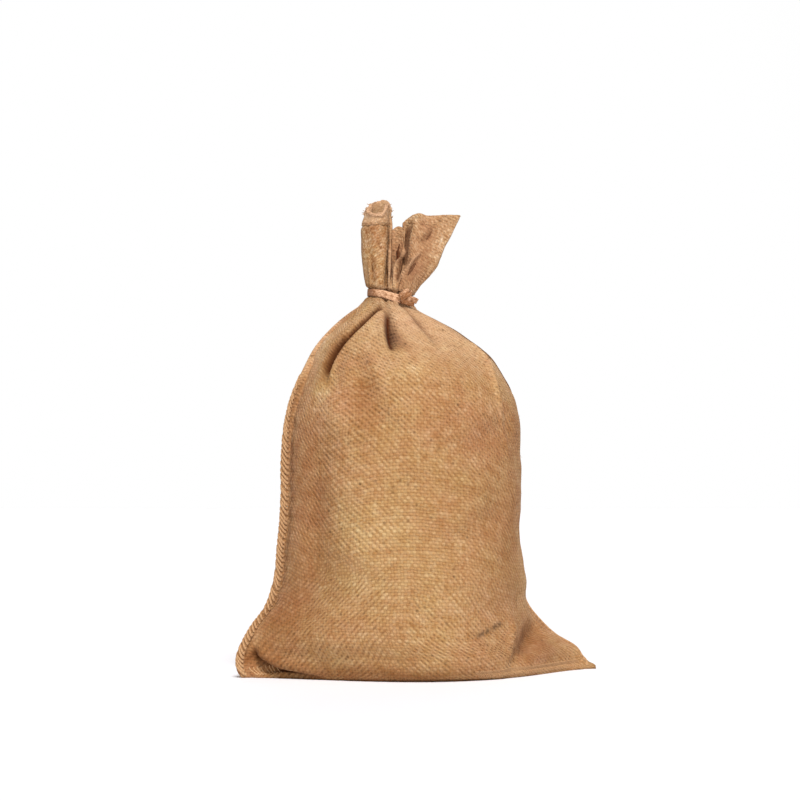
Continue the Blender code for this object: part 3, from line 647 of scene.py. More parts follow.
def belly_grid():
    """The rings of the filled part, unfolded and folded, and the marks that its weave reads."""
    turns, _, side, fin = ring_columns()
    heights = [a + (b - a) * i / rows for a, b, rows in BELLY_ROWS for i in range(rows)]
    heights = np.array(heights + [BELLY_ROWS[-1][1]], float)[:, None] + 0 * turns
    turns, side, fin = (np.broadcast_to(part, heights.shape) for part in (turns, side, fin))
    grid = belly_points(heights, turns, side, fin)
    normals, depth, slide, crease, ridge = folded(grid, heights, turns, FOLDS, belly_route)
    # the stiff seams take no part in the folds, and wave by themselves
    panel = (fin == 0)[..., None]
    depth = depth + belly_unevenness(grid, heights, turns)
    drawn = grid + panel * (slide - depth[..., None] * normals)
    wave = SEAM_WAVE * ripples(grid, 24, seed=21) * between(4, 12, 240, 280, heights)
    drawn[..., 1] += wave * fin
    # and nothing sinks into the floor
    drawn[..., 2] = np.maximum(drawn[..., 2], 0)
    drawn[0, :, 2] = 0
    marks = {"crease": belly_creases(grid, heights, turns, fin, crease), "ridge": ridge,
             **thread_marks(grid, heights, turns)}
    return grid, drawn, marks


def on_tuft(turns):
    """1 round the tall tuft at the left of the mouth, and 0 elsewhere."""
    turns = turns % 360
    return np.maximum(ease(84, 76, turns), ease(276, 288, turns))


def hem_top(rim, tuft):
    """The height that the hem's depth is measured from: the tuft's stitches run level."""
    return rim + tuft * (HEM_LEVEL - rim)


def in_hem(below):
    """1 within the doubled hem and 0 below its stitches, by the distance below its top."""
    return ease(HEM_WIDTH + 0.7, HEM_WIDTH - 0.5, below)


def mouth_grid():
    """The rings above the tie: unfolded, folded and inside, and its painted shade and highlight."""
    turns = ring_columns()[1]
    tuft = on_tuft(turns)
    shares = np.linspace(0, 1, MOUTH_ROWS + 1)[1:]
    plain = np.stack([mouth_ring(share, turns) for share in shares])
    rows = np.broadcast_to(shares[:, None], plain.shape[:2])
    around = np.broadcast_to(turns, plain.shape[:2])

    def route_of(path):
        return np.array([plain[min(int(share * MOUTH_ROWS), MOUTH_ROWS - 1),
                               np.argmin(np.abs(turns - turn))] for turn, share, _ in path])

    normals, depth, _, crease, ridge = folded(plain, rows, around, PLEATS, route_of)
    # the stitches draw the cloth in and the hem swells above them, most of all round the tuft
    top = hem_top(plain[-1, :, 2], tuft)
    below = top - plain[..., 2]
    sewn = (0.1 + 0.75 * tuft) * np.exp(-((below - HEM_WIDTH - 0.6) / 0.9) ** 2)
    swell = HEM_SWELL * (0.1 + 0.9 * tuft) * in_hem(below)
    slack = 0.6 * ease(0.05, 0.3, rows) * ripples(plain, 15, seed=31)
    depth = depth + ease(0.0, 0.15, rows) * (slack + sewn - swell)
    outer = plain - depth[..., None] * normals
    rough = ((0.25 + 0.5 * tuft) * ripples(plain[-1], 9, seed=32)
             + (0.1 + 0.8 * tuft) * ripples(plain[-1], 3.5, seed=33))
    outer[..., 2] += ease(*RIM_ROUGH, rows) * rough
    inner = []
    for share in np.linspace(0.99, 1 - INNER_DEPTH, INNER_ROWS - ROLL_ROWS):
        hem = in_hem(top - mouth_ring(share, turns)[:, 2])
        ring = mouth_ring(share, turns, CLOTH + HEM_TURN_IN * tuft * hem)
        ring[:, 2] += ease(*RIM_ROUGH, share) * rough
        inner.append(ring)
    roll = []
    for turned in np.linspace(0, math.pi, ROLL_ROWS + 2)[1:-1]:
        ring = outer[-1] + (1 - math.cos(turned)) / 2 * (inner[0] - outer[-1])
        ring[:, 2] += (0.4 + 0.7 * tuft) * math.sin(turned)
        roll.append(ring)
    return plain, outer, np.stack(roll + inner), crease, ridge


@functools.lru_cache(maxsize=1)
def cloth():
    """All rings of the cloth in millimetres, the same unfolded, and the marks of its weave."""
    plain_belly, belly, marks = belly_grid()
    turns = ring_columns()[1]
    neck = np.stack([neck_ring(offset, turns) for offset in NECK_ROWS])
    plain, outer, inner, crease, ridge = mouth_grid()
    rings = np.concatenate([belly, neck, outer, inner])
    above = np.zeros((len(rings) - len(belly), len(turns)))
    marks = {key: np.concatenate([made, above]) for key, made in marks.items()}
    # the numbers of the first rings of the neck, the mouth and its inside
    first_neck = len(belly)
    first_mouth = first_neck + len(neck)
    first_inside = first_mouth + len(outer)
    # painted shade on the gathered neck, and the painted shade and highlight of the mouth's folds
    marks["crease"][first_neck:first_mouth] = NECK_SHADE
    marks["crease"][first_mouth:first_inside] = crease
    marks["ridge"][first_mouth:first_inside] = ridge
    marks["lean"][first_neck:] = MOUTH_LEAN
    marks["askew"][first_neck:] = MOUTH_ASKEW

    # the tuft's hem and the flap are bleached, and the shoulders get painted light
    height = rings[..., 2]
    tuft = on_tuft(turns)
    below = hem_top(plain[-1, :, 2], tuft) - height[first_mouth:]
    hem = ease(HEM_WIDTH + 0.5, HEM_WIDTH - 1, below)
    marks["pale"] = SHOULDER_PAINTED_LIGHT * ease(225, 275, height) * ease(30, 100, turns)
    marks["pale"][first_mouth:] = (TUFT_PALE + (FLAP_PALE - TUFT_PALE) * (1 - tuft)
                                   + (FLAP_HEM_PALE + (TUFT_HEM_PALE - FLAP_HEM_PALE) * tuft) * hem)
    marks["worn"] = BELLY_WEAR + (1 - BELLY_WEAR) * ease(290, 300, height)
    # the cloth is pulled smooth where it rolls over to the left
    marks["flat"] = ease(42, 16, turns) * between(200, 235, 282, 292, height)
    unrolled = np.where(turns > 270, turns - 360, turns)
    marks["tone"], marks["rosy"] = (
        sum(much * np.exp(-((unrolled - turn) / spread) ** 2 - ((height - middle) / rise) ** 2)
            for turn, middle, spread, rise, much in places)
        for places in (PAINTED_LIGHT_SHADE_AND_TONE, HUES))
    # painted shade inside the mouth
    marks["tone"][first_inside:] += INSIDE_TONE
    marks["tone"] = np.maximum(marks["tone"], DARKEST_TONE)
    # below its hem the inside lies in shade
    marks["crease"][first_inside + ROLL_ROWS:] = INSIDE_SHADE * ease(
        HEM_WIDTH, HEM_WIDTH + 1.5, below[len(outer) + ROLL_ROWS:])
    return rings, np.concatenate([plain_belly, neck, plain, inner]), marks


def thread_places(rings):
    """How far along the weft and the warp each ring point lies, in millimetres of cloth."""
    onward = np.linalg.norm(np.roll(rings, -1, axis=1) - rings, axis=2)
    around = np.concatenate([np.zeros((len(rings), 1)), np.cumsum(onward, axis=1)], axis=1)
    upward = np.linalg.norm(np.diff(rings, axis=0), axis=2)
    # at the neck and the mouth the threads lie closer together
    level = rings[..., 2].mean(axis=1)[:, None]
    upward = upward * (1 + WEFT_CLOSER * ease(290, 305, level[1:]))
    around = around * (1 + WARP_CLOSER * ease(235, 300, level))
    along = np.concatenate([np.zeros((1, rings.shape[1])), np.cumsum(upward, axis=0)])
    return around, np.concatenate([along, along[:, :1]], axis=1)


# ---------------------------------------------------------------- meshes
def placed(points):
    """Millimetres from the ears' middle line to metres from the middle of the box."""
    points = np.array(points, float)
    points[..., 0] -= MIDDLE[0]
    points[..., 1] -= MIDDLE[1]
    return points * MM


def add_piece(name, points, faces, material, uv, marks=None):
    """A mesh object that rides on the sack, from points in metres."""
    mesh = bpy.data.meshes.new(name)
    mesh.from_pydata(np.asarray(points).reshape(-1, 3).tolist(), [], faces)
    layer = mesh.uv_layers.new(name="Threads")
    layer.uv.foreach_set("vector", np.asarray(uv, np.float32).ravel())
    for key, values in (marks or {}).items():
        made = mesh.attributes.new(key, "FLOAT", "POINT")
        made.data.foreach_set("value", np.asarray(values, np.float32).ravel())
    mesh.polygons.foreach_set("use_smooth", [True] * len(mesh.polygons))
    mesh.materials.append(material)
    mesh.validate()
    mesh.update()
    piece = bpy.data.objects.new(name, mesh)
    bpy.context.collection.objects.link(piece)
    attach(piece, "root")
    return piece


def tube_rings(path, radius, sides, flatness, up):
    """Rings of points round a path, with the section flattened along up."""
    path = np.asarray(path, float)
    heading = unit(np.gradient(path, axis=0))
    across = unit(np.cross(heading, np.broadcast_to(np.asarray(up, float), path.shape)))
    normal = np.cross(across, heading)
    angle = np.arange(sides) * 2 * math.pi / sides
    radius = np.broadcast_to(np.asarray(radius, float), len(path))
    return path[:, None] + radius[:, None, None] * (
        np.cos(angle)[None, :, None] * across[:, None]
        + flatness * np.sin(angle)[None, :, None] * normal[:, None])


def join_tubes(tubes):
    """Points, faces and thread places of many closed tubes, each given as its rings."""
    points, faces, uv = [], [], []
    count = 0
    for rings in tubes:
        rows, sides = rings.shape[:2]
        points.append(rings.reshape(-1, 3))
        length = run_length(rings.mean(axis=1))
        for i in range(rows - 1):
            for j in range(sides):
                k = (j + 1) % sides
                a, b = count + i * sides, count + (i + 1) * sides
                faces.append((a + j, a + k, b + k, b + j))
                uv += [(j / sides, length[i]), ((j + 1) / sides, length[i]),
                       ((j + 1) / sides, length[i + 1]), (j / sides, length[i + 1])]
        faces.append(tuple(count + j for j in reversed(range(sides))))
        faces.append(tuple(count + (rows - 1) * sides + j for j in range(sides)))
        uv += [(0.5, 0.0)] * sides + [(0.5, length[-1])] * sides
        count += rows * sides
    return np.concatenate(points), faces, uv


# ---------------------------------------------------------------- colours and materials
def linear(code):
    """An sRGB hex colour as linear red, green and blue."""
    parts = [int(code[i:i + 2], 16) / 255 for i in (1, 3, 5)]
    return tuple(p / 12.92 if p <= 0.04045 else ((p + 0.055) / 1.055) ** 2.4 for p in parts)


def add_node(tree, kind, inputs=None, **settings):
    """Adds a node with its settings, and sets or links its inputs by name or number."""
    made = tree.nodes.new(kind)
    for key, value in settings.items():
        setattr(made, key, value)
    for key, value in (inputs or {}).items():
        if isinstance(value, bpy.types.Node):
            value = value.outputs[0]
        if isinstance(value, bpy.types.NodeSocket):
            tree.links.new(value, made.inputs[key])
        else:
            made.inputs[key].default_value = value
    return made


# Kinds of node, by what they do.
MATH, VECTOR_MATH, MAP_RANGE, MIX = (
    "ShaderNodeMath", "ShaderNodeVectorMath", "ShaderNodeMapRange", "ShaderNodeMix")
NOISE, CELLS, BUMP = "ShaderNodeTexNoise", "ShaderNodeTexVoronoi", "ShaderNodeBump"
SPLIT, JOIN = "ShaderNodeSeparateXYZ", "ShaderNodeCombineXYZ"
PLACES, THREADS, MARK = "ShaderNodeTexCoord", "ShaderNodeUVMap", "ShaderNodeAttribute"


def new_material(name, roughness, sheen=0.0):
    """An empty cloth-like material: how to add nodes to it, how to link them, and its shader."""
    material = bpy.data.materials.new(name)
    material.use_nodes = True
    tree = material.node_tree
    shader = tree.nodes["Principled BSDF"]
    # jute refracts about as glass does, but its hairs scatter what would glance off it
    shader.inputs["Roughness"].default_value = roughness
    shader.inputs["IOR"].default_value = 1.5
    shader.inputs["Specular IOR Level"].default_value = 0.15
    shader.inputs["Sheen Weight"].default_value = sheen
    shader.inputs["Sheen Roughness"].default_value = 0.6
    return material, functools.partial(add_node, tree), tree.links.new, shader


# The plain weave, worked out in threads. Each step is a name, a math operation and what goes in.
# These are taken for the warp, which runs up the sack, and for the weft, which runs across it:
# along is the way that a thread runs, and across the way that threads are counted.
THREAD_STEPS = (
    ("part", "SUBTRACT", "across", "number"),
    ("aside", "SUBTRACT", "part", 0.5),
    # each thread dips under and over its neighbours, half a wave to a crossing
    ("phase", "ADD", "along", "number"),
    ("angle", "MULTIPLY", "phase", math.pi),
    ("wave", "SINE", "angle"),
    # its section is round, as thick as its own spinning makes it
    ("ratio", "DIVIDE", "aside", "thick"),
    ("square", "MULTIPLY", "ratio", "ratio"),
    ("inside", "SUBTRACT", 1.0, "square"),
    ("clipped", "MAXIMUM", "inside", 0.0),
    ("round", "SQRT", "clipped"),
    ("rise", "MULTIPLY_ADD", "wave", "dip", "level"),
    ("height", "MULTIPLY", "round", "rise"),
)

WEAVE_STEPS = (
    ("woven", "SMOOTH_MAX", "warp height", "weft height", 0.15),
    ("warp on top", "GREATER_THAN", "warp height", "weft height"),
    # on cloth that is pulled askew the raised crossings join into slanting rows
    ("down place", "ADD", "across", "along"),
    ("up place", "SUBTRACT", "across", "along"),
    ("down angle", "MULTIPLY", "down place", math.pi),
    ("up angle", "MULTIPLY", "up place", math.pi),
    ("down row", "COSINE", "down angle"),
    ("up row", "COSINE", "up angle"),
    ("down part", "MULTIPLY", "down row", "down share"),
    ("up part", "MULTIPLY", "up row", "lean"),
    ("slant", "SUBTRACT", "down part", "up part"),
    ("clear slant", "MULTIPLY", "slant", "clearness"),
    ("height", "MULTIPLY_ADD", "clear slant", 0.30, "woven"),
)

# The two yarns. The weft is less even, and stands higher than the warp on square cloth.
YARNS = (
    # name, counted, runs, dip, level on square cloth and askew, seed, thin, thick, liveliness
    ("warp", "across", "along", 0.22, 0.43, 0.53, 11.0, 0.47, 0.55, 0.10),
    ("weft", "along", "across", -0.24, 0.68, 0.57, 47.0, 0.38, 0.60, 0.27),
)

# What each point of the cloth tells its weave.
MARKS = (
    "crease",   # how much painted shade it gets, in creases and other shaded places
    "ridge",    # and how much painted highlight, out on a ridge
    "lean",     # which way the slanting rows of its threads run, from 0 to 1
    "askew",    # how far the threads are pulled out of square
    "pulled",   # the gap of the pulled thread
    "pale",     # how much paler: painted light on the shoulders, bleached jute at the mouth
    "tone",     # how much lighter or, with a minus, darker it is, much of it painted light and shade
    "worn",     # how speckled
    "flat",     # how smoothly it is pulled
    "rosy",     # how much rosier or, with a minus, more olive it is
)


def weave(add, place, marks, thread_pitch):
    """Adds the weave: where each place lies in threads, and everything worked out from that."""
    # the threads wander by a quarter of a pitch over some 25 mm, and less over 6 mm
    swing = add(NOISE, {"Vector": place, "Scale": 0.04, "Detail": 2.0, "Roughness": 0.5},
                noise_dimensions="2D").outputs["Color"]
    swing = add(VECTOR_MATH, {0: swing, 1: (0.5, 0.5, 0.5)}, operation="SUBTRACT")
    swing = add(VECTOR_MATH, {0: swing, 1: (3.2, 3.2, 0.0)}, operation="MULTIPLY")
    threads = add(VECTOR_MATH, {0: place, 1: swing}, operation="ADD")
    per_mm = MM / thread_pitch
    threads = add(VECTOR_MATH, {0: threads, 1: (per_mm, per_mm, 0)}, operation="MULTIPLY")
    apart = add(SPLIT, {0: threads})
    made = {"across": apart.outputs[0], "along": apart.outputs[1], "lean": marks["lean"]}
    made["down share"] = add(MATH, {0: 1.0, 1: marks["lean"]}, operation="SUBTRACT")
    # the slanting rows come and go in patches of some 7 mm
    clear = add(NOISE, {"Vector": place, "Scale": 0.14, "Detail": 2.0, "Roughness": 0.6},
                noise_dimensions="2D")
    clear = add(MAP_RANGE, {"Value": clear, "From Min": 0.34, "From Max": 0.64,
                            "To Min": 0.1, "To Max": 1.3})
    made["clearness"] = add(MATH, {0: clear, 1: marks["askew"]}, operation="MULTIPLY")
    for yarn, counted, runs, dip, square, slanted, seed, thin, thick, _ in YARNS:
        one = {"across": made[counted], "along": made[runs], "dip": dip}
        one["level"] = add(MAP_RANGE, {"Value": marks["askew"], "From Min": 0.3, "From Max": 1.0,
                                       "To Min": square, "To Max": slanted})
        # each thread's own thickness and shade, which change over some 14 crossings
        one["number"] = add(MATH, {0: one["across"]}, operation="FLOOR")
        own = add(JOIN, {0: one["number"], 1: one["along"]})
        own = add(VECTOR_MATH, {0: own, 1: (3.37, 0.07, 0.0), 2: (seed, 5.0, 0.0)},
                  operation="MULTIPLY_ADD")
        one["spun"] = add(NOISE, {"Vector": own, "Scale": 1.0, "Detail": 2.0},
                          noise_dimensions="2D")
        one["thick"] = add(MAP_RANGE, {"Value": one["spun"], "From Min": 0.3, "From Max": 0.7,
                                       "To Min": thin, "To Max": thick})
        for step, operation, *values in THREAD_STEPS:
            inputs = {i: one.get(value, value) for i, value in enumerate(values)}
            one[step] = add(MATH, inputs, operation=operation)
        made.update({f"{yarn} {key}": one[key] for key in ("number", "height", "spun")})
    for step, operation, *values in WEAVE_STEPS:
        inputs = {i: made.get(value, value) for i, value in enumerate(values)}
        made[step] = add(MATH, inputs, operation=operation)
    return threads, made


def dark_places(add, surface, pulled, crossing):
    """Adds flecks of bark, and painted shade in thin places and in the gap of the pulled thread."""
    # flecks of bark, up to 3 mm across, in one of seven cells of 20 mm
    cells = add(CELLS, {"Vector": surface, "Scale": 48.0}, feature="F1")
    rare = add(SPLIT, {0: cells.outputs["Color"]})
    rare = add(MATH, {0: rare, 1: 0.86}, operation="GREATER_THAN")
    near = add(MAP_RANGE, {"Value": cells.outputs["Distance"], "From Min": 0.02, "From Max": 0.06,
                           "To Min": 0.7, "To Max": 0.0})
    bark = add(MATH, {0: rare, 1: near}, operation="MULTIPLY")
    # painted shade in the ragged gap of the pulled thread
    ragged = add(MAP_RANGE, {"Value": crossing, "From Min": 0.25, "From Max": 0.6, "To Min": 0.4})
    hole = add(MATH, {0: pulled, 1: ragged}, operation="MULTIPLY")
    hole = add(MATH, {0: hole, 1: 0.78}, operation="MULTIPLY")
    # and painted shade in thin places, in cells of 6 mm, where the inside of the weave shows
    cells = add(CELLS, {"Vector": surface, "Scale": 170.0}, feature="F1")
    few = add(SPLIT, {0: cells.outputs["Color"]})
    few = add(MAP_RANGE, {"Value": few, "From Min": 0.5, "From Max": 1.0, "To Max": 0.55})
    near = add(MAP_RANGE, {"Value": cells.outputs["Distance"], "From Min": 0.10, "From Max": 0.28,
                           "To Min": 1.0, "To Max": 0.0})
    thin = add(MATH, {0: few, 1: near}, operation="MULTIPLY")
    flecks = add(MATH, {0: thin, 1: bark}, operation="MAXIMUM")
    return add(MATH, {0: hole, 1: flecks}, operation="MAXIMUM")


def hessian(name, sizes, colours):
    """Hessian: plain-woven jute. Coarse, hairy, matt threads, no two as thick or as brown."""
    material, add, link, shader = new_material(name, roughness=0.95, sheen=0.03)
    place = add(THREADS, uv_map="Threads")
    surface = add(PLACES).outputs["Object"]
    marks = {key: add(MARK, attribute_name=key).outputs["Fac"] for key in MARKS}
    threads, made = weave(add, place, marks, sizes.thread_pitch)

    # fibres lie along each thread: short streaks, a seventh of a pitch wide
    streaks = {}
    for yarn, stretch in (("warp", (7.0, 1.1, 0.0)), ("weft", (1.1, 7.0, 0.0))):
        stretched = add(VECTOR_MATH, {0: threads, 1: stretch}, operation="MULTIPLY")
        streaks[yarn] = add(NOISE, {"Vector": stretched, "Scale": 1.0, "Detail": 2.0},
                            noise_dimensions="2D")
    on_top = made["warp on top"]
    streak = add(MIX, {0: on_top, 2: streaks["weft"].outputs[0], 3: streaks["warp"].outputs[0]})
    shades = {yarn: add(MAP_RANGE, {"Value": made[yarn + " spun"],
                                    "From Min": 0.3, "From Max": 0.7,
                                    "To Min": 0.5 - liveliness, "To Max": 0.5 + liveliness})
              for yarn, *_, liveliness in YARNS}
    shade = add(MIX, {0: on_top, 2: shades["weft"].outputs[0], 3: shades["warp"].outputs[0]})

    # jute bleaches unevenly: yellow and reddish patches from some 60 mm down to 4 mm across
    patch = add(NOISE, {"Vector": surface, "Scale": 17.0, "Detail": 5.0, "Roughness": 0.85})
    patch = add(MAP_RANGE, {"Value": patch, "From Min": 0.32, "From Max": 0.68})
    patch = add(MATH, {0: patch, 1: marks["rosy"]}, operation="ADD")
    # light and dark ones some 7 mm across
    mottle = add(NOISE, {"Vector": surface, "Scale": 130.0, "Detail": 3.0, "Roughness": 0.6})
    mottle = add(MAP_RANGE, {"Value": mottle, "From Min": 0.25, "From Max": 0.75,
                             "To Min": 0.78, "To Max": 1.20})
    # and speckles 2 mm across where the cloth is worn
    speckle = add(NOISE, {"Vector": surface, "Scale": 420.0, "Detail": 2.0, "Roughness": 0.6})
    speckle = add(MATH, {0: speckle, 1: 0.5}, operation="SUBTRACT")
    speckle = add(MATH, {0: speckle, 1: marks["worn"]}, operation="MULTIPLY")
    mottle = add(MATH, {0: speckle, 1: 2.2, 2: mottle}, operation="MULTIPLY_ADD")
    tan = add(MIX, {0: patch, 6: (*colours.yellow, 1), 7: (*colours.red, 1)}, data_type="RGBA")
    # the shade of the thread on top, of this crossing alone and of the fibres
    shade = add(MATH, {0: shade, 1: 0.44, 2: 0.72}, operation="MULTIPLY_ADD")
    crossing = add(JOIN, {0: made["warp number"], 1: made["weft number"]})
    crossing = add("ShaderNodeTexWhiteNoise", {"Vector": crossing},
                   noise_dimensions="2D").outputs["Value"]
    shade = add(MATH, {0: crossing, 1: 0.16, 2: shade}, operation="MULTIPLY_ADD")
    fibres = add(MATH, {0: streak, 1: 0.60, 2: 0.70}, operation="MULTIPLY_ADD")
    lively = add(MATH, {0: shade, 1: fibres}, operation="MULTIPLY")
    lively = add(MATH, {0: lively, 1: mottle}, operation="MULTIPLY")
    # painted highlight on ridges and painted light on shoulders, bleached jute, and the tone mark
    pale = add(MATH, {0: marks["ridge"], 1: 0.22, 2: marks["pale"]}, operation="MULTIPLY_ADD")
    bright = add(MATH, {0: pale, 1: 0.7, 2: marks["tone"]}, operation="MULTIPLY_ADD")
    bright = add(MATH, {0: bright, 1: 1.0}, operation="ADD")
    # darker jute is redder and fuller in colour, and the painted light, shade and stains follow
    # suit
    lively, bright = ([add(MATH, {0: value, 1: power}, operation="POWER") for power in powers]
                      for value, powers in ((lively, (0.66, 1.12, 1.75)),
                                            (bright, (0.72, 1.12, 1.50))))
    lively, bright = (add(JOIN, dict(enumerate(parts))) for parts in (lively, bright))
    shaded = add(VECTOR_MATH, {0: tan.outputs[2], 1: lively}, operation="MULTIPLY")
    shaded = add(VECTOR_MATH, {0: shaded, 1: bright}, operation="MULTIPLY")
    # what lies deep in the weave is shaded by the threads round it, but not on smooth cloth
    depth = add(MAP_RANGE, {"Value": made["height"], "From Min": 0.0, "From Max": 0.85,
                            "To Min": 0.42})
    smoothed = add(MATH, {0: marks["flat"], 1: 0.75}, operation="MULTIPLY")
    depth = add(MATH, {0: depth, 1: smoothed}, operation="MAXIMUM")
    woven = add(MIX, {0: depth, 6: (*colours.gap, 1), 7: shaded}, data_type="RGBA")
    # frayed and bleached jute is pale, and ridges and shoulders get painted light
    frayed_and_painted_light = add(MIX, {0: pale, 6: woven.outputs[2], 7: (*colours.frayed_and_painted_light, 1)}, data_type="RGBA")
    # painted shade in the creases, on the neck, under the stitches and inside the mouth
    with_painted_shade = add(MIX, {0: marks["crease"], 6: frayed_and_painted_light.outputs[2], 7: (*colours.painted_shade, 1)},
                data_type="RGBA", blend_type="MULTIPLY")
    # flecks of bark, and painted shade in the pulled thread's gap and in thin places
    dark = dark_places(add, surface, marks["pulled"], crossing)
    marked = add(MIX, {0: dark, 6: with_painted_shade.outputs[2], 7: (*colours.bark, 1)}, data_type="RGBA")
    link(marked.outputs[2], shader.inputs["Base Color"])
    # no light glances off the fibres deep in a crease
    glance = add(MAP_RANGE, {"Value": marks["crease"], "From Max": 0.6, "To Min": 0.15,
                             "To Max": 0.0})
    link(glance.outputs[0], shader.inputs["Specular IOR Level"])
    # relief: half a millimetre from gap to crown, and the fibres a third of that
    relief = add(MATH, {0: streak, 1: 0.35, 2: made["height"]}, operation="MULTIPLY_ADD")
    raised = add(MATH, {0: marks["flat"], 1: -0.6, 2: 1.0}, operation="MULTIPLY_ADD")
    bump = add(BUMP, {"Height": relief, "Strength": raised, "Distance": 0.55 * MM})
    link(bump.outputs[0], shader.inputs["Normal"])
    return material


# Spun thread, worked out like the weave: two plies wind round it.
SPUN_STEPS = (
    ("plies", "MULTIPLY", "around", 2.0),
    ("wound", "MULTIPLY_ADD", "length", "turns to a millimetre", "plies"),
    ("angle", "MULTIPLY", "wound", 2 * math.pi),
    ("wave", "SINE", "angle"),
    ("height", "MULTIPLY_ADD", "wave", 0.5, 0.5),
)


def spun_thread(name, colour, dark, twist):
    """Spun jute thread: plies that wind round it, matt, with painted light on their crowns, which
    are twist millimetres apart, and painted shade between them."""
    material, add, link, shader = new_material(name, roughness=0.9, sheen=0.05)
    apart = add(SPLIT, {0: add(THREADS, uv_map="Threads")})
    made = {"around": apart.outputs[0], "length": apart.outputs[1],
            "turns to a millimetre": 1 / twist}
    for step, operation, *values in SPUN_STEPS:
        inputs = {i: made.get(value, value) for i, value in enumerate(values)}
        made[step] = add(MATH, inputs, operation=operation)
    # darker and lighter places some 7 mm apart
    surface = add(PLACES).outputs["Object"]
    mottle = add(NOISE, {"Vector": surface, "Scale": 140.0, "Detail": 2.0})
    mottle = add(MAP_RANGE, {"Value": mottle, "From Min": 0.3, "From Max": 0.7,
                             "To Min": 0.7, "To Max": 1.0})
    # painted light on the plies' crowns, and painted shade between them
    crown = add(MATH, {0: made["height"], 1: mottle}, operation="MULTIPLY")
    lit = add(MAP_RANGE, {"Value": crown, "From Max": 0.7, "To Min": 0.3})
    tint = add(MIX, {0: lit, 6: (*dark, 1), 7: (*colour, 1)}, data_type="RGBA")
    link(tint.outputs[2], shader.inputs["Base Color"])
    bump = add(BUMP, {"Height": made["height"], "Strength": 0.5, "Distance": 0.12 * MM})
    link(bump.outputs[0], shader.inputs["Normal"])
    return material


# Tape, worked out the same way: nine ribs round it, and picks 0.9 mm apart along it.
TAPE_STEPS = (
    ("rib angle", "MULTIPLY", "across", 9 * 2 * math.pi),
    ("rib", "SINE", "rib angle"),
    ("pick angle", "MULTIPLY", "along", 2 * math.pi / 0.9),
    ("pick", "SINE", "pick angle"),
    ("crossed", "MULTIPLY", "rib", "pick"),
    ("ribbed", "MULTIPLY_ADD", "rib", 0.6, "crossed"),
    ("height", "MULTIPLY_ADD", "ribbed", 0.25, 0.5),
)


def woven_tape(name, colours):
    """Woven jute tape: fine ribs along it, streaked where it is worn, and matt like the cloth."""
    material, add, link, shader = new_material(name, roughness=0.8, sheen=0.1)
    place = add(THREADS, uv_map="Threads")
    brown = add(MARK, attribute_name="brown").outputs["Fac"]
    apart = add(SPLIT, {0: place})
    made = {"across": apart.outputs[0], "along": apart.outputs[1]}
    for step, operation, *values in TAPE_STEPS:
        inputs = {i: made.get(value, value) for i, value in enumerate(values)}
        made[step] = add(MATH, inputs, operation=operation)
    # fourteen streaks round it, each some 2.5 mm long
    stretched = add(VECTOR_MATH, {0: place, 1: (14.0, 0.4, 0.0)}, operation="MULTIPLY")
    streak = add(NOISE, {"Vector": stretched, "Scale": 1.0, "Detail": 4.0, "Roughness": 0.6},
                 noise_dimensions="2D")
    light = add(MAP_RANGE, {"Value": streak, "From Min": 0.36, "From Max": 0.60,
                            "To Min": 0.1, "To Max": 1.0})
    # painted light on the ribs' crowns, and painted shade where the brown mark is
    light = add(MATH, {0: made["height"], 1: 0.2, 2: light}, operation="MULTIPLY_ADD")
    light = add(MATH, {0: brown, 1: -0.9, 2: light}, operation="MULTIPLY_ADD")
    tint = add(MIX, {0: light, 6: (*colours.tape_dark, 1), 7: (*colours.tape, 1)},
               data_type="RGBA")
    link(tint.outputs[2], shader.inputs["Base Color"])
    relief = add(MATH, {0: streak, 1: 0.8, 2: made["height"]}, operation="MULTIPLY_ADD")
    bump = add(BUMP, {"Height": relief, "Strength": 0.9, "Distance": 0.25 * MM})
    link(bump.outputs[0], shader.inputs["Normal"])
    return material


def painted_floor(name, colour):
    """Matt painted board: a pale, even floor with the faintest texture from the roller."""
    material, add, link, shader = new_material(name, roughness=0.9)
    # the roller leaves dimples some 1.7 mm across
    grain = add(NOISE, {"Vector": add(PLACES).outputs["Object"], "Scale": 600.0, "Detail": 2.0})
    shade = add(MAP_RANGE, {"Value": grain, "To Min": 0.985, "To Max": 1.0})
    tint = add(VECTOR_MATH, {0: colour, "Scale": shade}, operation="SCALE")
    link(tint.outputs[0], shader.inputs["Base Color"])
    bump = add(BUMP, {"Height": grain, "Strength": 0.1, "Distance": 0.1 * MM})
    link(bump.outputs[0], shader.inputs["Normal"])
    return material


# ---------------------------------------------------------------- sizes and colours
class SackSizes(bpy.types.PropertyGroup):
    """Sizes of the cloth, the sewing and the tie."""

    thread_pitch: bpy.props.FloatProperty(
        name="Thread pitch", description="From one thread of the cloth to the next",
        default=2.54 * MM, min=0.5 * MM, max=8 * MM, unit="LENGTH")
    stitch_pitch: bpy.props.FloatProperty(
        name="Stitch pitch", description="From one overlock stitch to the next",
        default=3.9 * MM, min=2 * MM, max=10 * MM, unit="LENGTH")
    stitch_thickness: bpy.props.FloatProperty(
        name="Stitch thickness", description="Thickness of the sewing thread",
        default=1.8 * MM, min=0.5 * MM, max=3 * MM, unit="LENGTH")
    tape_width: bpy.props.FloatProperty(
        name="Tape width", description="Width of the tape round the neck",
        default=6.8 * MM, min=3 * MM, max=12 * MM, unit="LENGTH")
    tape_thickness: bpy.props.FloatProperty(
        name="Tape thickness", description="Thickness of the tape round the neck",
        default=1.3 * MM, min=0.4 * MM, max=2 * MM, unit="LENGTH")
    fibre_count: bpy.props.IntProperty(
        name="Stray fibres", description="How many fibres stand out of the cloth",
        default=1100, min=0, max=6000)


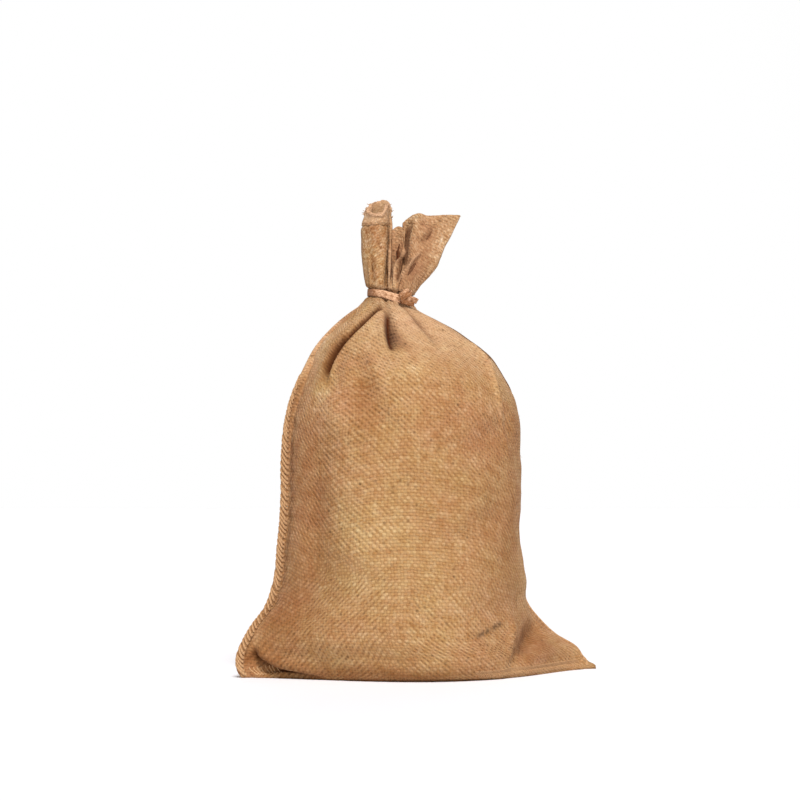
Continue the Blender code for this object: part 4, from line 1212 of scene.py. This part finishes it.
class SackColours(bpy.types.PropertyGroup):
    """Colours of the jute, the sewing, the tie and the floor."""

    yellow: bpy.props.FloatVectorProperty(
        name="Yellow jute", description="Bleached patches of the cloth",
        default=linear("#B99260"), min=0, max=1, subtype="COLOR")
    red: bpy.props.FloatVectorProperty(
        name="Red jute", description="Reddish patches of the cloth",
        default=linear("#B4825A"), min=0, max=1, subtype="COLOR")
    # painted shade deep in the weave, between the threads
    gap: bpy.props.FloatVectorProperty(
        name="Gaps", description="What shows between the threads",
        default=linear("#5A381C"), min=0, max=1, subtype="COLOR")
    # painted shade: in the creases, on the neck, under the stitches and inside the mouth
    painted_shade: bpy.props.FloatVectorProperty(
        name="Creases", description="Dust and wear in the creases",
        default=linear("#6C4020"), min=0, max=1, subtype="COLOR")
    # also painted shade in the pulled thread's gap and in thin places
    bark: bpy.props.FloatVectorProperty(
        name="Bark", description="Dark flecks in the yarn, and the holes of a pulled thread",
        default=linear("#3E2713"), min=0, max=1, subtype="COLOR")
    # also painted light on the shoulders and ridges
    frayed_and_painted_light: bpy.props.FloatVectorProperty(
        name="Frayed rim", description="Paler jute at the worn rim of the mouth",
        default=linear("#D4AC8A"), min=0, max=1, subtype="COLOR")
    # painted light on the plies' crowns, and below it painted shade between them
    thread: bpy.props.FloatVectorProperty(
        name="Sewing thread", description="Crowns of the overlock thread",
        default=linear("#C49A70"), min=0, max=1, subtype="COLOR")
    thread_dark: bpy.props.FloatVectorProperty(
        name="Sewing thread, low", description="Between the plies of the overlock thread",
        default=linear("#A88058"), min=0, max=1, subtype="COLOR")
    # the tape's low colour is also its painted shade
    tape: bpy.props.FloatVectorProperty(
        name="Tape", description="Crowns of the tape's ribs",
        default=linear("#DDAF8A"), min=0, max=1, subtype="COLOR")
    tape_dark: bpy.props.FloatVectorProperty(
        name="Tape, low", description="Between the tape's ribs",
        default=linear("#8E5C36"), min=0, max=1, subtype="COLOR")
    floor: bpy.props.FloatVectorProperty(
        name="Floor", description="Matt paint under the sack",
        default=linear("#F7F8FD"), min=0, max=1, subtype="COLOR")


# ---------------------------------------------------------------- the cloth
def panel_faces(rows, columns):
    """Quads between neighbouring rings, each ring closed round."""
    i, j = np.meshgrid(np.arange(rows - 1) * columns, np.arange(columns), indexing="ij")
    k = (j + 1) % columns
    return np.stack([i + j, i + k, i + columns + k, i + columns + j], axis=-1)


def cap_pairs():
    """Columns of the front and the columns of the back that face them across the sack."""
    panel = PANEL_COLUMNS + 1
    fins = len(FIN_SECTION)
    half = fins // 2
    total = 2 * (panel + fins)
    front = [total - half + i for i in range(half)] + list(range(panel))
    front += [panel + i for i in range(half)]
    back = [total - half - 1 - i for i in range(half)]
    back += [2 * panel + fins - 1 - i for i in range(panel)]
    back += [panel + fins - 1 - i for i in range(half)]
    return front, back


CAP_ROWS = 9                # rows of points across a cap, its two edges with them


def add_cap(points, faces, uv, ring, first, upward, lift):
    """Closes a ring, whose points are numbered from first, with strips from front to back."""
    front, back = cap_pairs()
    share = np.linspace(0, 1, CAP_ROWS)[1:-1, None, None]
    middle = ring[front] + share * (ring[back] - ring[front])
    middle[..., 2] += lift * np.sin(math.pi * share[..., 0])
    count = sum(len(part) for part in points)
    points.append(middle.reshape(-1, 3))
    lines = [np.array(front) + first]
    lines += [count + r * len(front) + np.arange(len(front)) for r in range(CAP_ROWS - 2)]
    lines += [np.array(back) + first]
    places = np.concatenate([ring[front][None], middle, ring[back][None]])
    for r in range(CAP_ROWS - 1):
        for i in range(len(front) - 1):
            corners = [(r, i), (r + 1, i), (r + 1, i + 1), (r, i + 1)]
            if upward:
                corners.reverse()
            faces.append(tuple(int(lines[a][b]) for a, b in corners))
            uv += [tuple(places[a, b, :2]) for a, b in corners]


CLOTH_IN_FOLDS = 0.3        # share of a fold's extra length that is cloth, and not stretch


class SACK_OT_cloth(bpy.types.Operator):
    """Makes the woven cloth: the filled belly, its side seams, the neck and the pleated mouth"""

    bl_idname = "sack.cloth"
    bl_label = "Hessian cloth"

    def execute(self, context):
        rings, plain, marks = cloth()
        rows, columns = rings.shape[:2]
        around, along = ((1 - CLOTH_IN_FOLDS) * before + CLOTH_IN_FOLDS * after
                         for before, after in zip(thread_places(plain), thread_places(rings)))
        points = [rings.reshape(-1, 3)]
        quads = panel_faces(rows, columns)
        panel = PANEL_COLUMNS + 1
        fins = len(FIN_SECTION)
        front_middle, back_middle = PANEL_COLUMNS // 2, panel + fins + PANEL_COLUMNS // 2
        start = np.full((rows, columns), 0.0)
        start[:] = around[:, [front_middle]]
        start[:, panel + fins // 2:] = around[:, [back_middle]]
        closing = columns - fins // 2
        start[:, closing:] = around[:, [columns]] + around[:, [front_middle]]
        low, high = start[:-1], start[1:]
        corner_u = np.stack([around[:-1, :-1] - low, around[:-1, 1:] - low,
                             around[1:, 1:] - high, around[1:, :-1] - high], axis=-1)
        corner_v = np.stack([along[:-1, :-1], along[:-1, 1:], along[1:, 1:], along[1:, :-1]],
                            axis=-1)
        faces = quads.reshape(-1, 4).tolist()
        uv = np.stack([corner_u, corner_v], axis=-1).reshape(-1, 2).tolist()
        add_cap(points, faces, uv, rings[0], 0, upward=False, lift=0.5)
        add_cap(points, faces, uv, rings[-1], (rows - 1) * columns, upward=True, lift=0.0)
        points = np.concatenate(points)
        caps = np.zeros(len(points) - rows * columns)
        marks = {key: np.concatenate([made.ravel(), caps]) for key, made in marks.items()}
        material = hessian("hessian_plain_woven_jute", context.scene.sack_sizes,
                           context.scene.sack_colours)
        piece = add_piece("sack_cloth", placed(points), faces, material, uv, marks)
        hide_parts("sack")
        return {"FINISHED"}


# ---------------------------------------------------------------- sewing
ROWS_PAST_SEAM = 6          # rings between the end of a side seam and the gathered neck
STRIP_COLUMNS = 25          # places across a strip that is sewn over
LEFT_STITCHES_TO = 240      # the height at which the left seam's stitches end
OFF_FLOOR = 0.1             # the lowest that any stitch reaches
BOTTOM_STITCH_ROWS = 6      # rings that a stitch of the bottom seam crosses

BOTTOM_STITCHES = (
    # turns from, to, size beside the side seams' stitches, seed
    (4, 34, 0.7, 50),
    (98, 174, 0.3, 51),
)

# One overlock stitch from the needle's hole at the front over the seam's edge to the back, in
# shares of the strip's width, of a stitch's rise and of the thread.
STITCH = (
    # across, up, lift, thickness
    (0.05,  0.06, -0.20, 0.70),
    (0.01, -0.02,  0.05, 1.15),
    (0.01, -0.10,  0.20, 1.30),
    (0.07, -0.04,  0.22, 1.20),
    (0.18,  0.16,  0.20, 1.05),
    (0.30,  0.42,  0.17, 0.95),
    (0.42,  0.70,  0.12, 0.85),
    (0.50,  0.90,  0.10, 0.80),
    (0.58,  1.00,  0.12, 0.85),
    (0.68,  1.12,  0.17, 0.95),
    (0.80,  1.25,  0.22, 1.05),
    (0.90,  1.36,  0.10, 1.10),
    (0.98,  1.45, -0.20, 0.70),
)


def seam_rows():
    """How many rings carry the side seams, from the floor up."""
    return sum(rows for _, _, rows in BELLY_ROWS) - ROWS_PAST_SEAM


def seam_section(side):
    """Columns of one side seam, from the front panel over the edge to the back panel."""
    panel = PANEL_COLUMNS + 1
    fins = len(FIN_SECTION)
    if side == "right":
        return [panel - 1] + [panel + i for i in range(fins)] + [panel + fins]
    last = 2 * (panel + fins)
    return [0] + [last - 1 - i for i in range(fins)] + [last - fins - 1]


def strip_point(strip, length, place, share):
    """A point of a strip of rings, place along it and share of the way across."""
    row = np.interp(place, length, np.arange(len(length)))
    across = np.clip(share, 0, 1) * (strip.shape[1] - 1)
    i = np.clip(row.astype(int), 0, len(length) - 2)
    j = np.clip(across.astype(int), 0, strip.shape[1] - 2)
    a, b = (row - i)[:, None], (across - j)[:, None]
    return ((1 - a) * (1 - b) * strip[i, j] + a * (1 - b) * strip[i + 1, j]
            + (1 - a) * b * strip[i, j + 1] + a * b * strip[i + 1, j + 1])


def even_strip(strip):
    """The same strip with its columns spread evenly across its curved section."""
    made = []
    for line in strip:
        along = run_length(line)
        made.append(on_line(np.linspace(0, along[-1], STRIP_COLUMNS), along, line))
    return np.array(made)


def overlock(strip, pitch, thick, rise, seed):
    """Tubes of the overlock stitches over a strip: each crosses it slantwise and hooks back."""
    chance = np.random.default_rng(seed)
    strip = even_strip(strip)
    length = run_length(strip[:, 0])
    normals = unit(np.cross(np.gradient(strip, axis=1), np.gradient(strip, axis=0)))
    middle = STRIP_COLUMNS // 2
    outward = strip[:, middle] - (strip[:, 0] + strip[:, -1]) / 2
    sign = np.sign((normals[:, middle] * outward).sum(axis=1)).sum()
    normals *= 1 if sign > 0 else -1
    across, climb, lift, radius = (np.array(column(STITCH, i)) for i in range(4))
    tubes = []
    at = pitch
    while at < length[-1] - rise - pitch:
        slack = chance.uniform(-0.12, 0.12) * pitch
        place = at + slack + climb * (rise * chance.uniform(0.8, 1.2))
        # the stitches get narrower towards the seam's end at the shoulder
        level = float(np.interp(at, length, strip[:, 0, 2]))
        edge = 0.08 + 0.20 * ease(165, 215, level) + 0.14 * ease(215, 238, level)
        share = edge + (1 - 2 * edge) * across
        on = strip_point(strip, length, place, share)
        out = strip_point(normals, length, place, share)
        around = thick / 2 * chance.uniform(0.88, 1.12) * radius
        tubes.append(tube_rings(on + thick * lift[:, None] * out, around, 6, 0.6, out))
        at += pitch * chance.uniform(0.82, 1.2)
    return tubes


class SACK_OT_seams(bpy.types.Operator):
    """Sews the overlock stitches over both side seams and along the bottom seam"""

    bl_idname = "sack.seams"
    bl_label = "Overlocked seams"

    def execute(self, context):
        sizes, colours = context.scene.sack_sizes, context.scene.sack_colours
        pitch, thick = sizes.stitch_pitch / MM, sizes.stitch_thickness / MM
        rings = cloth()[0][:seam_rows()]
        material = spun_thread("jute_overlock_thread_spun", colours.thread, colours.thread_dark,
                               twist=2.6)
        runs = {}
        for side, top, seed in (("left", LEFT_STITCHES_TO, 40), ("right", TUCKED_FROM, 41)):
            strip = rings[:, seam_section(side)]
            strip = strip[strip[:, 0, 2] < top]
            runs[side] = overlock(strip, pitch, thick, rise=8.0, seed=seed)
        turns = ring_columns()[0][:PANEL_COLUMNS + 1]
        runs["bottom"] = []
        for low, high, size, seed in BOTTOM_STITCHES:
            columns = np.flatnonzero((turns >= low) & (turns <= high))
            strip = rings[BOTTOM_STITCH_ROWS:0:-1, columns].transpose(1, 0, 2)
            runs["bottom"] += overlock(strip, pitch * size * 1.1, thick * size, rise=2.4, seed=seed)
        for name, tubes in runs.items():
            points, faces, uv = join_tubes(tubes)
            points[:, 2] = np.maximum(points[:, 2], OFF_FLOOR)
            add_piece(f"overlock_{name}", placed(points), faces, material, uv)
        return {"FINISHED"}


# ---------------------------------------------------------------- the mouth
HEM_STITCH = 4.2            # length of a running stitch
HEM_PITCH = 5.6             # and from one to the next
HEM_THREAD = 0.36           # radius of the thread
YARN_ENDS = 900             # places round the rim that may have an end
ROOT = 0.8                  # how deep an end is rooted in the rim
LOOSE_YARNS = 11
LOOSE_YARN = 0.62           # radius


def hem_line(outer, normals, top):
    """The line of the hem's stitches, round the mouth, and the outward directions along it."""
    line, outs = (np.empty((len(top), 3)) for _ in range(2))
    rows = np.arange(MOUTH_ROWS)
    for j in range(len(top)):
        row = np.interp(-(top[j] - HEM_WIDTH), -outer[::-1, j, 2], rows[::-1])
        i = min(int(row), MOUTH_ROWS - 2)
        line[j] = outer[i, j] + (row - i) * (outer[i + 1, j] - outer[i, j])
        outs[j] = normals[i, j]
    return line, outs


def hem_stitches(outer, normals, tuft, chance):
    """Tubes of the hem's running stitches."""
    line, outs = hem_line(outer, normals, hem_top(outer[-1, :, 2], tuft))
    line, outs = (np.concatenate([part, part[:1]]) for part in (line, outs))
    length = run_length(line)
    tubes = []
    at = 0.0
    while at < length[-1] - 6:
        place = at + np.linspace(0, 1, 7) * HEM_STITCH
        path, out = (on_line(place, length, part) for part in (line, outs))
        # away from the tuft they are sunk in the cloth
        sunk = 0.35 * (1 - np.interp(place[3], length[:-1], tuft))
        lift = np.array([-0.3, 0.15, 0.3, 0.35, 0.3, 0.15, -0.3]) - sunk
        tubes.append(tube_rings(path + lift[:, None] * out, HEM_THREAD, 6, 1.0, out))
        at += HEM_PITCH * chance.uniform(0.9, 1.1)
    return tubes


def yarn_ends(rim, outs, tuft, chance):
    """Short thread ends that stand out of the rim where the hem has frayed."""
    share = np.linspace(0, 1, 5)[:, None]
    tubes = []
    for _ in range(YARN_ENDS):
        j = chance.integers(0, len(rim))
        if tuft[j] < 0.5 and chance.random() > 0.05:
            continue
        long = chance.uniform(0.4, 1.0) * (1 + 1.2 * tuft[j])
        away = outs[j] * chance.normal(-0.1, 0.5)
        aside = np.array([*chance.normal(0, 0.4, 2), 0])
        way = unit((0, 0, 1.0) + away + aside)
        bend = np.array([*chance.normal(0, 0.3, 2), -0.15]) * share ** 2
        path = rim[j] - (0, 0, ROOT) + (long + ROOT) * (share * way + bend)
        radius = chance.uniform(0.2, 0.5) * np.linspace(1, 0.5, 5)
        tubes.append(tube_rings(path, radius, 5, 1.0, (0.3, 1, 0.1)))
    return tubes


def loose_yarns(rim, outs, chance):
    """The rim's own yarns, worked loose, that run along the tuft."""
    turns = (ring_columns()[1] + 180) % 360 - 180
    order = np.argsort(turns)
    tubes = []
    for _ in range(LOOSE_YARNS):
        at = np.linspace(-68, 68, 90) + chance.uniform(-5, 5)
        line, out = (on_line(at, turns[order], part[order]) for part in (rim, outs))
        swing = np.sin(at / chance.uniform(5, 9) + chance.uniform(0, 6))
        path = line + (0.5 * swing + chance.uniform(-1.6, 0.7))[:, None] * out
        path[:, 2] += 0.7 * np.cos(at / chance.uniform(4, 8) + chance.uniform(0, 6))
        path[:, 2] += chance.uniform(-1.6, 0.6)
        tubes.append(tube_rings(path, LOOSE_YARN * (1 + 0.2 * swing), 6, 1.0, out))
    return tubes


class SACK_OT_mouth(bpy.types.Operator):
    """Sews the mouth's hem and frays its rim"""

    bl_idname = "sack.mouth"
    bl_label = "Hem and frayed rim"

    def execute(self, context):
        colours = context.scene.sack_colours
        rings = cloth()[0]
        first = len(rings) - MOUTH_ROWS - INNER_ROWS
        outer = rings[first:first + MOUTH_ROWS]
        normals = surface_normals(outer)
        tuft = on_tuft(ring_columns()[1])
        chance = np.random.default_rng(61)
        stitches = hem_stitches(outer, normals, tuft, chance)
        ends = yarn_ends(outer[-1], normals[-2], tuft, chance)
        ends += loose_yarns(outer[-1], normals[-2], chance)
        for name, made_as, tubes, colour, twist in (
                ("hem_stitches", "jute_hem_thread_spun", stitches, colours.thread, 1.8),
                ("frayed_rim", "jute_yarn_ends_frayed", ends, colours.frayed_and_painted_light, 2.2)):
            points, faces, uv = join_tubes(tubes)
            material = spun_thread(made_as, colour, colours.thread_dark, twist)
            add_piece(name, placed(points), faces, material, uv)
        return {"FINISHED"}


# ---------------------------------------------------------------- the tie
# The tape's section, with rounded edges, in shares of its width and its thickness.
TAPE_SECTION = ((-0.5, 0.0), (-0.47, 0.38), (-0.3, 0.5), (0.0, 0.5), (0.3, 0.5), (0.47, 0.38),
                (0.5, 0.0), (0.47, -0.38), (0.3, -0.5), (0.0, -0.5), (-0.3, -0.5), (-0.47, -0.38))


def tape_rings(path, across, width, thick):
    """Rings of a flat tape with rounded edges along a path, across being the way of its width."""
    path = np.asarray(path, float)
    heading = unit(np.gradient(path, axis=0))
    across = np.broadcast_to(np.asarray(across, float), path.shape)
    across = unit(across - (across * heading).sum(axis=1, keepdims=True) * heading)
    normal = np.cross(heading, across)
    section = np.array(TAPE_SECTION)
    width, thick = (np.broadcast_to(np.asarray(size, float), len(path))[:, None, None]
                    for size in (width, thick))
    return (path[:, None] + width * section[None, :, :1] * across[:, None]
            + thick * section[None, :, 1:] * normal[:, None])


def spline(points, count):
    """A smooth run of points through a few."""
    points = np.asarray(points, float)
    reach = run_length(points)
    at = np.linspace(0, reach[-1], count)
    return np.stack([smooth(reach, points[:, k], at) for k in range(points.shape[1])], axis=1)


# The tape's runs at the knot, from the neck's axis and the tie's middle: how wide and thick each
# is, how much painted shade it gets, the way its width lies, and its points, each to the side, to
# the front and up.
TAPE_RUNS = (
    # the hitch over the band
    (4.0, 1.1, 0.80, (1.0, 0.1, 0.2), ((8.6, 15.4, 3.4), (9.2, 17.5, 2.4), (10.0, 18.2, -0.4),
                                       (10.4, 17.5, -2.8), (10.2, 15.0, -4.6))),
    # what lies under the knot
    (5.0, 1.1, 0.45, (0.1, 0.1, 1.0), ((6.5, 16.3, -0.4), (9.6, 16.9, -0.2), (13.4, 16.2, -0.2),
                                       (16.0, 14.6, -0.6))),
    # the loop up behind
    (4.6, 1.2, 0.30, (-0.8, 0.0, 0.6), ((9.6, 16.9, 0.6), (10.8, 17.4, 2.8), (12.6, 17.3, 4.8),
                                        (14.6, 16.6, 5.6), (15.8, 16.4, 4.4))),
    # and down in front
    (4.4, 1.2, 0.90, (-0.8, 0.0, 0.6), ((15.6, 16.8, 4.8), (15.0, 17.8, 3.4), (13.4, 18.5, 2.2),
                                        (11.6, 18.7, 0.8), (10.4, 18.2, -0.8))),
    # the pale free end
    (4.6, 1.0, 0.30, (0.1, 0.4, 1.0), ((11.4, 17.4, -1.2), (14.4, 17.8, -0.6), (17.8, 16.8, -0.4),
                                       (21.4, 15.4, -1.4))),
    # and the dark one below it
    (3.8, 1.0, 0.90, (0.3, 0.3, 1.0), ((9.4, 17.2, -3.2), (12.6, 17.4, -3.9), (15.8, 16.8, -4.3),
                                       (19.0, 15.8, -4.1))),
)


def tie_places(points):
    """Points from the neck's axis and the tie's middle, placed on the sack."""
    side, front, up = np.asarray(points, float).T
    return to_sack(side, front, NECK_HEIGHT + up - NECK_SLOPE * side)


class SACK_OT_tie(bpy.types.Operator):
    """Winds the tape round the neck and ties its knot, with a loop and two free ends"""

    bl_idname = "sack.tie"
    bl_label = "Tape tie"

    def execute(self, context):
        sizes, colours = context.scene.sack_sizes, context.scene.sack_colours
        width, thick = sizes.tape_width / MM, sizes.tape_thickness / MM
        # the band lies on the narrowest part of the neck, and sags a little in front
        turns = np.linspace(0, 360, 145)
        around = np.radians(turns)
        ripple = thick / 2 + 0.25 - 0.18 * np.sin(around * 11 + 2) - 0.12 * np.sin(around * 7)
        _, *radii = min(NECK, key=lambda row: row[1])
        reach_side, reach_front = (radius + ripple for radius in radii)
        sag = -1.7 * between(60, 120, 130, 200, turns)
        path = tie_places(np.stack([-reach_side * np.cos(around), reach_front * np.sin(around),
                                    sag], axis=1))
        up = np.array([-NECK_SLOPE * math.sin(NECK_TURN), 0, 1.0])
        wide = width * (1 - 0.16 * np.cos(around - 0.6) ** 2 + 0.04 * np.sin(3 * around))
        rings = [tape_rings(path, up, wide, thick)]
        # painted shade at its sides and round the back
        brown = [1 - between(32, 66, 125, 165, turns)]
        for run_width, run_thick, shade, (side, front, upright), points in TAPE_RUNS:
            run = tie_places(spline(points, 26))
            way = np.array([side * math.cos(NECK_TURN) + front * math.sin(NECK_TURN),
                            side * math.sin(NECK_TURN) - front * math.cos(NECK_TURN), upright])
            rings.append(tape_rings(run, way, run_width, run_thick))
            brown.append(np.full(len(run), shade))
        points, faces, uv = join_tubes(rings)
        marks = {"brown": np.repeat(np.concatenate(brown), rings[0].shape[1])}
        material = woven_tape("jute_tape_woven", colours)
        piece = add_piece("tape_tie", placed(points), faces, material, uv, marks)
        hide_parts("tie")
        return {"FINISHED"}


# ---------------------------------------------------------------- stray fibres
FIBRE_LENGTH = (1.2, 4.5)
FIBRE_RADIUS = 0.09
LOWEST_FIBRE_ROW = 6        # the ring above the floor from which fibres stand out


class SACK_OT_fibres(bpy.types.Operator):
    """Stands stray jute fibres out of the cloth"""

    bl_idname = "sack.fibres"
    bl_label = "Stray fibres"

    def execute(self, context):
        sizes, colours = context.scene.sack_sizes, context.scene.sack_colours
        rings = cloth()[0]
        outside = rings[LOWEST_FIBRE_ROW:-INNER_ROWS - 1]
        normals = surface_normals(outside)
        upward = np.linalg.norm(np.gradient(outside, axis=0), axis=2)
        onward = np.linalg.norm(np.gradient(outside, axis=1), axis=2)
        weight = (upward * onward).ravel()
        chance = np.random.default_rng(71)
        spots = chance.choice(weight.size, sizes.fibre_count, p=weight / weight.sum())
        tubes = []
        for spot in spots:
            row, col = divmod(spot, outside.shape[1])
            foot, out = outside[row, col], normals[row, col]
            aside = chance.normal(size=3)
            aside -= (aside @ out) * out
            aside /= np.linalg.norm(aside)
            long = chance.uniform(*FIBRE_LENGTH)
            share = np.linspace(0, 1, 5)[:, None]
            lift = chance.uniform(0.15, 0.6)
            path = foot - 0.2 * out + long * (
                share * aside + (lift * share + chance.uniform(-0.3, 0.2) * share ** 2) * out)
            tubes.append(tube_rings(path, FIBRE_RADIUS * np.linspace(1, 0.4, 5), 3, 1.0, out))
        points, faces, uv = join_tubes(tubes)
        material = spun_thread("jute_fibres_stray", colours.thread, colours.thread_dark, 3.0)
        add_piece("stray_fibres", placed(points), faces, material, uv)
        return {"FINISHED"}


# ---------------------------------------------------------------- the stage
CAMERA_DISTANCE = 1800 * MM
CAMERA_HEIGHT = 157 * MM
CAMERA_TURN = -17           # degrees round the sack
TARGET_ASIDE = -12 * MM     # the point that it looks at
TARGET_HEIGHT = 218 * MM
LENS = 101.25               # focal length in millimetres, on film SENSOR wide
SENSOR = 36
FLOOR_RADIUS = 9.0          # metres, well past what the camera sees
SIDE_WALLS = 0.3            # how bright the studio is at the sides, beside front and back
CEILING = 0.35              # and overhead
WARM = (1.0, 0.84, 0.66, 1)  # tint of what is dim

SUNS = (
    # name, strength, softness, turn and height of where it stands, in degrees
    ("key",  3.4, 20.0,  -8.0, 52.0),
    ("back", 0.2, 40.0, 150.0, 35.0),
)


class SACK_OT_stage(bpy.types.Operator):
    """Lays the pale floor and sets the soft lights and the camera"""

    bl_idname = "sack.stage"
    bl_label = "Stage"

    def execute(self, context):
        scene = context.scene
        bpy.ops.mesh.primitive_circle_add(vertices=96, radius=FLOOR_RADIUS, fill_type="NGON")
        floor = context.object
        floor.name = "floor"
        floor.data.materials.append(painted_floor("matt_painted_floor", scene.sack_colours.floor))

        world = bpy.data.worlds.new("studio")
        scene.world = world
        world.use_nodes = True
        tree = world.node_tree
        sky = tree.nodes["Background"]
        add = functools.partial(add_node, tree)
        apart = add(SPLIT, {0: add(PLACES).outputs["Generated"]})
        # white walls before and behind, dim warm ones at the sides, and a dimmer ceiling
        away = add(MATH, {0: apart.outputs[1]}, operation="ABSOLUTE")
        walls = add(MAP_RANGE, {"Value": away, "From Min": 0.35, "From Max": 0.9,
                                "To Min": SIDE_WALLS}, interpolation_type="SMOOTHSTEP")
        ceiling = add(MAP_RANGE, {"Value": apart.outputs[2], "From Min": 0.2, "From Max": 0.7,
                                  "To Min": 1.0, "To Max": CEILING},
                      interpolation_type="SMOOTHSTEP")
        share = add(MATH, {0: walls, 1: ceiling}, operation="MULTIPLY")
        tree.links.new(share.outputs[0], sky.inputs["Strength"])
        tint = add(MIX, {0: share, 6: WARM, 7: (1, 1, 1, 1)}, data_type="RGBA")
        tree.links.new(tint.outputs[2], sky.inputs["Color"])

        for name, strength, softness, sun_turn, height in SUNS:
            lamp = bpy.data.lights.new(name, "SUN")
            lamp.energy = strength
            lamp.angle = math.radians(softness)
            made = bpy.data.objects.new(name, lamp)
            made.location = (0, 0, 1)
            made.rotation_euler = (math.radians(90 - height), 0, math.radians(sun_turn))
            context.collection.objects.link(made)

        turn = math.radians(CAMERA_TURN)
        shift = Vector((MIDDLE[0] * MM, MIDDLE[1] * MM, 0))
        place = Vector((CAMERA_DISTANCE * math.sin(turn), -CAMERA_DISTANCE * math.cos(turn),
                        CAMERA_HEIGHT)) - shift
        target = Vector((TARGET_ASIDE * math.cos(turn), TARGET_ASIDE * math.sin(turn),
                         TARGET_HEIGHT)) - shift
        lens = bpy.data.cameras.new("camera")
        lens.lens = LENS
        lens.sensor_width = SENSOR
        lens.clip_start, lens.clip_end = 0.05, 60
        camera = bpy.data.objects.new("camera", lens)
        camera.location = place
        camera.rotation_euler = (target - place).to_track_quat("-Z", "Y").to_euler()
        context.collection.objects.link(camera)
        scene.camera = camera
        scene.view_settings.view_transform = "Standard"
        scene.view_settings.look = "None"
        return {"FINISHED"}


# ---------------------------------------------------------------- panel and registration
class SACK_PT_panel(bpy.types.Panel):
    """Sizes, colours and pieces of the sack"""

    bl_label = "Hessian sack"
    bl_idname = "SACK_PT_panel"
    bl_space_type = "VIEW_3D"
    bl_region_type = "UI"
    bl_category = "Sack"

    def draw(self, context):
        layout = self.layout
        for group, kind in ((context.scene.sack_sizes, SackSizes),
                            (context.scene.sack_colours, SackColours)):
            box = layout.box()
            for key in kind.__annotations__:
                box.prop(group, key)
        for operator in OPERATORS:
            layout.operator(operator.bl_idname)


OPERATORS = (SACK_OT_cloth, SACK_OT_seams, SACK_OT_mouth, SACK_OT_tie, SACK_OT_fibres,
             SACK_OT_stage)
CLASSES = (SackSizes, SackColours, *OPERATORS, SACK_PT_panel)


def register():
    """Makes the operators, the panel and the settings known to Blender."""
    for kind in CLASSES:
        bpy.utils.register_class(kind)
    bpy.types.Scene.sack_sizes = bpy.props.PointerProperty(type=SackSizes)
    bpy.types.Scene.sack_colours = bpy.props.PointerProperty(type=SackColours)


def unregister():
    """Takes them away again."""
    del bpy.types.Scene.sack_colours
    del bpy.types.Scene.sack_sizes
    for kind in reversed(CLASSES):
        bpy.utils.unregister_class(kind)


def main():
    """Builds the sack and its stage."""
    register()
    bpy.ops.sack.cloth()
    bpy.ops.sack.seams()
    bpy.ops.sack.mouth()
    bpy.ops.sack.tie()
    bpy.ops.sack.fibres()
    bpy.ops.sack.stage()


if __name__ == "__main__":
    main()
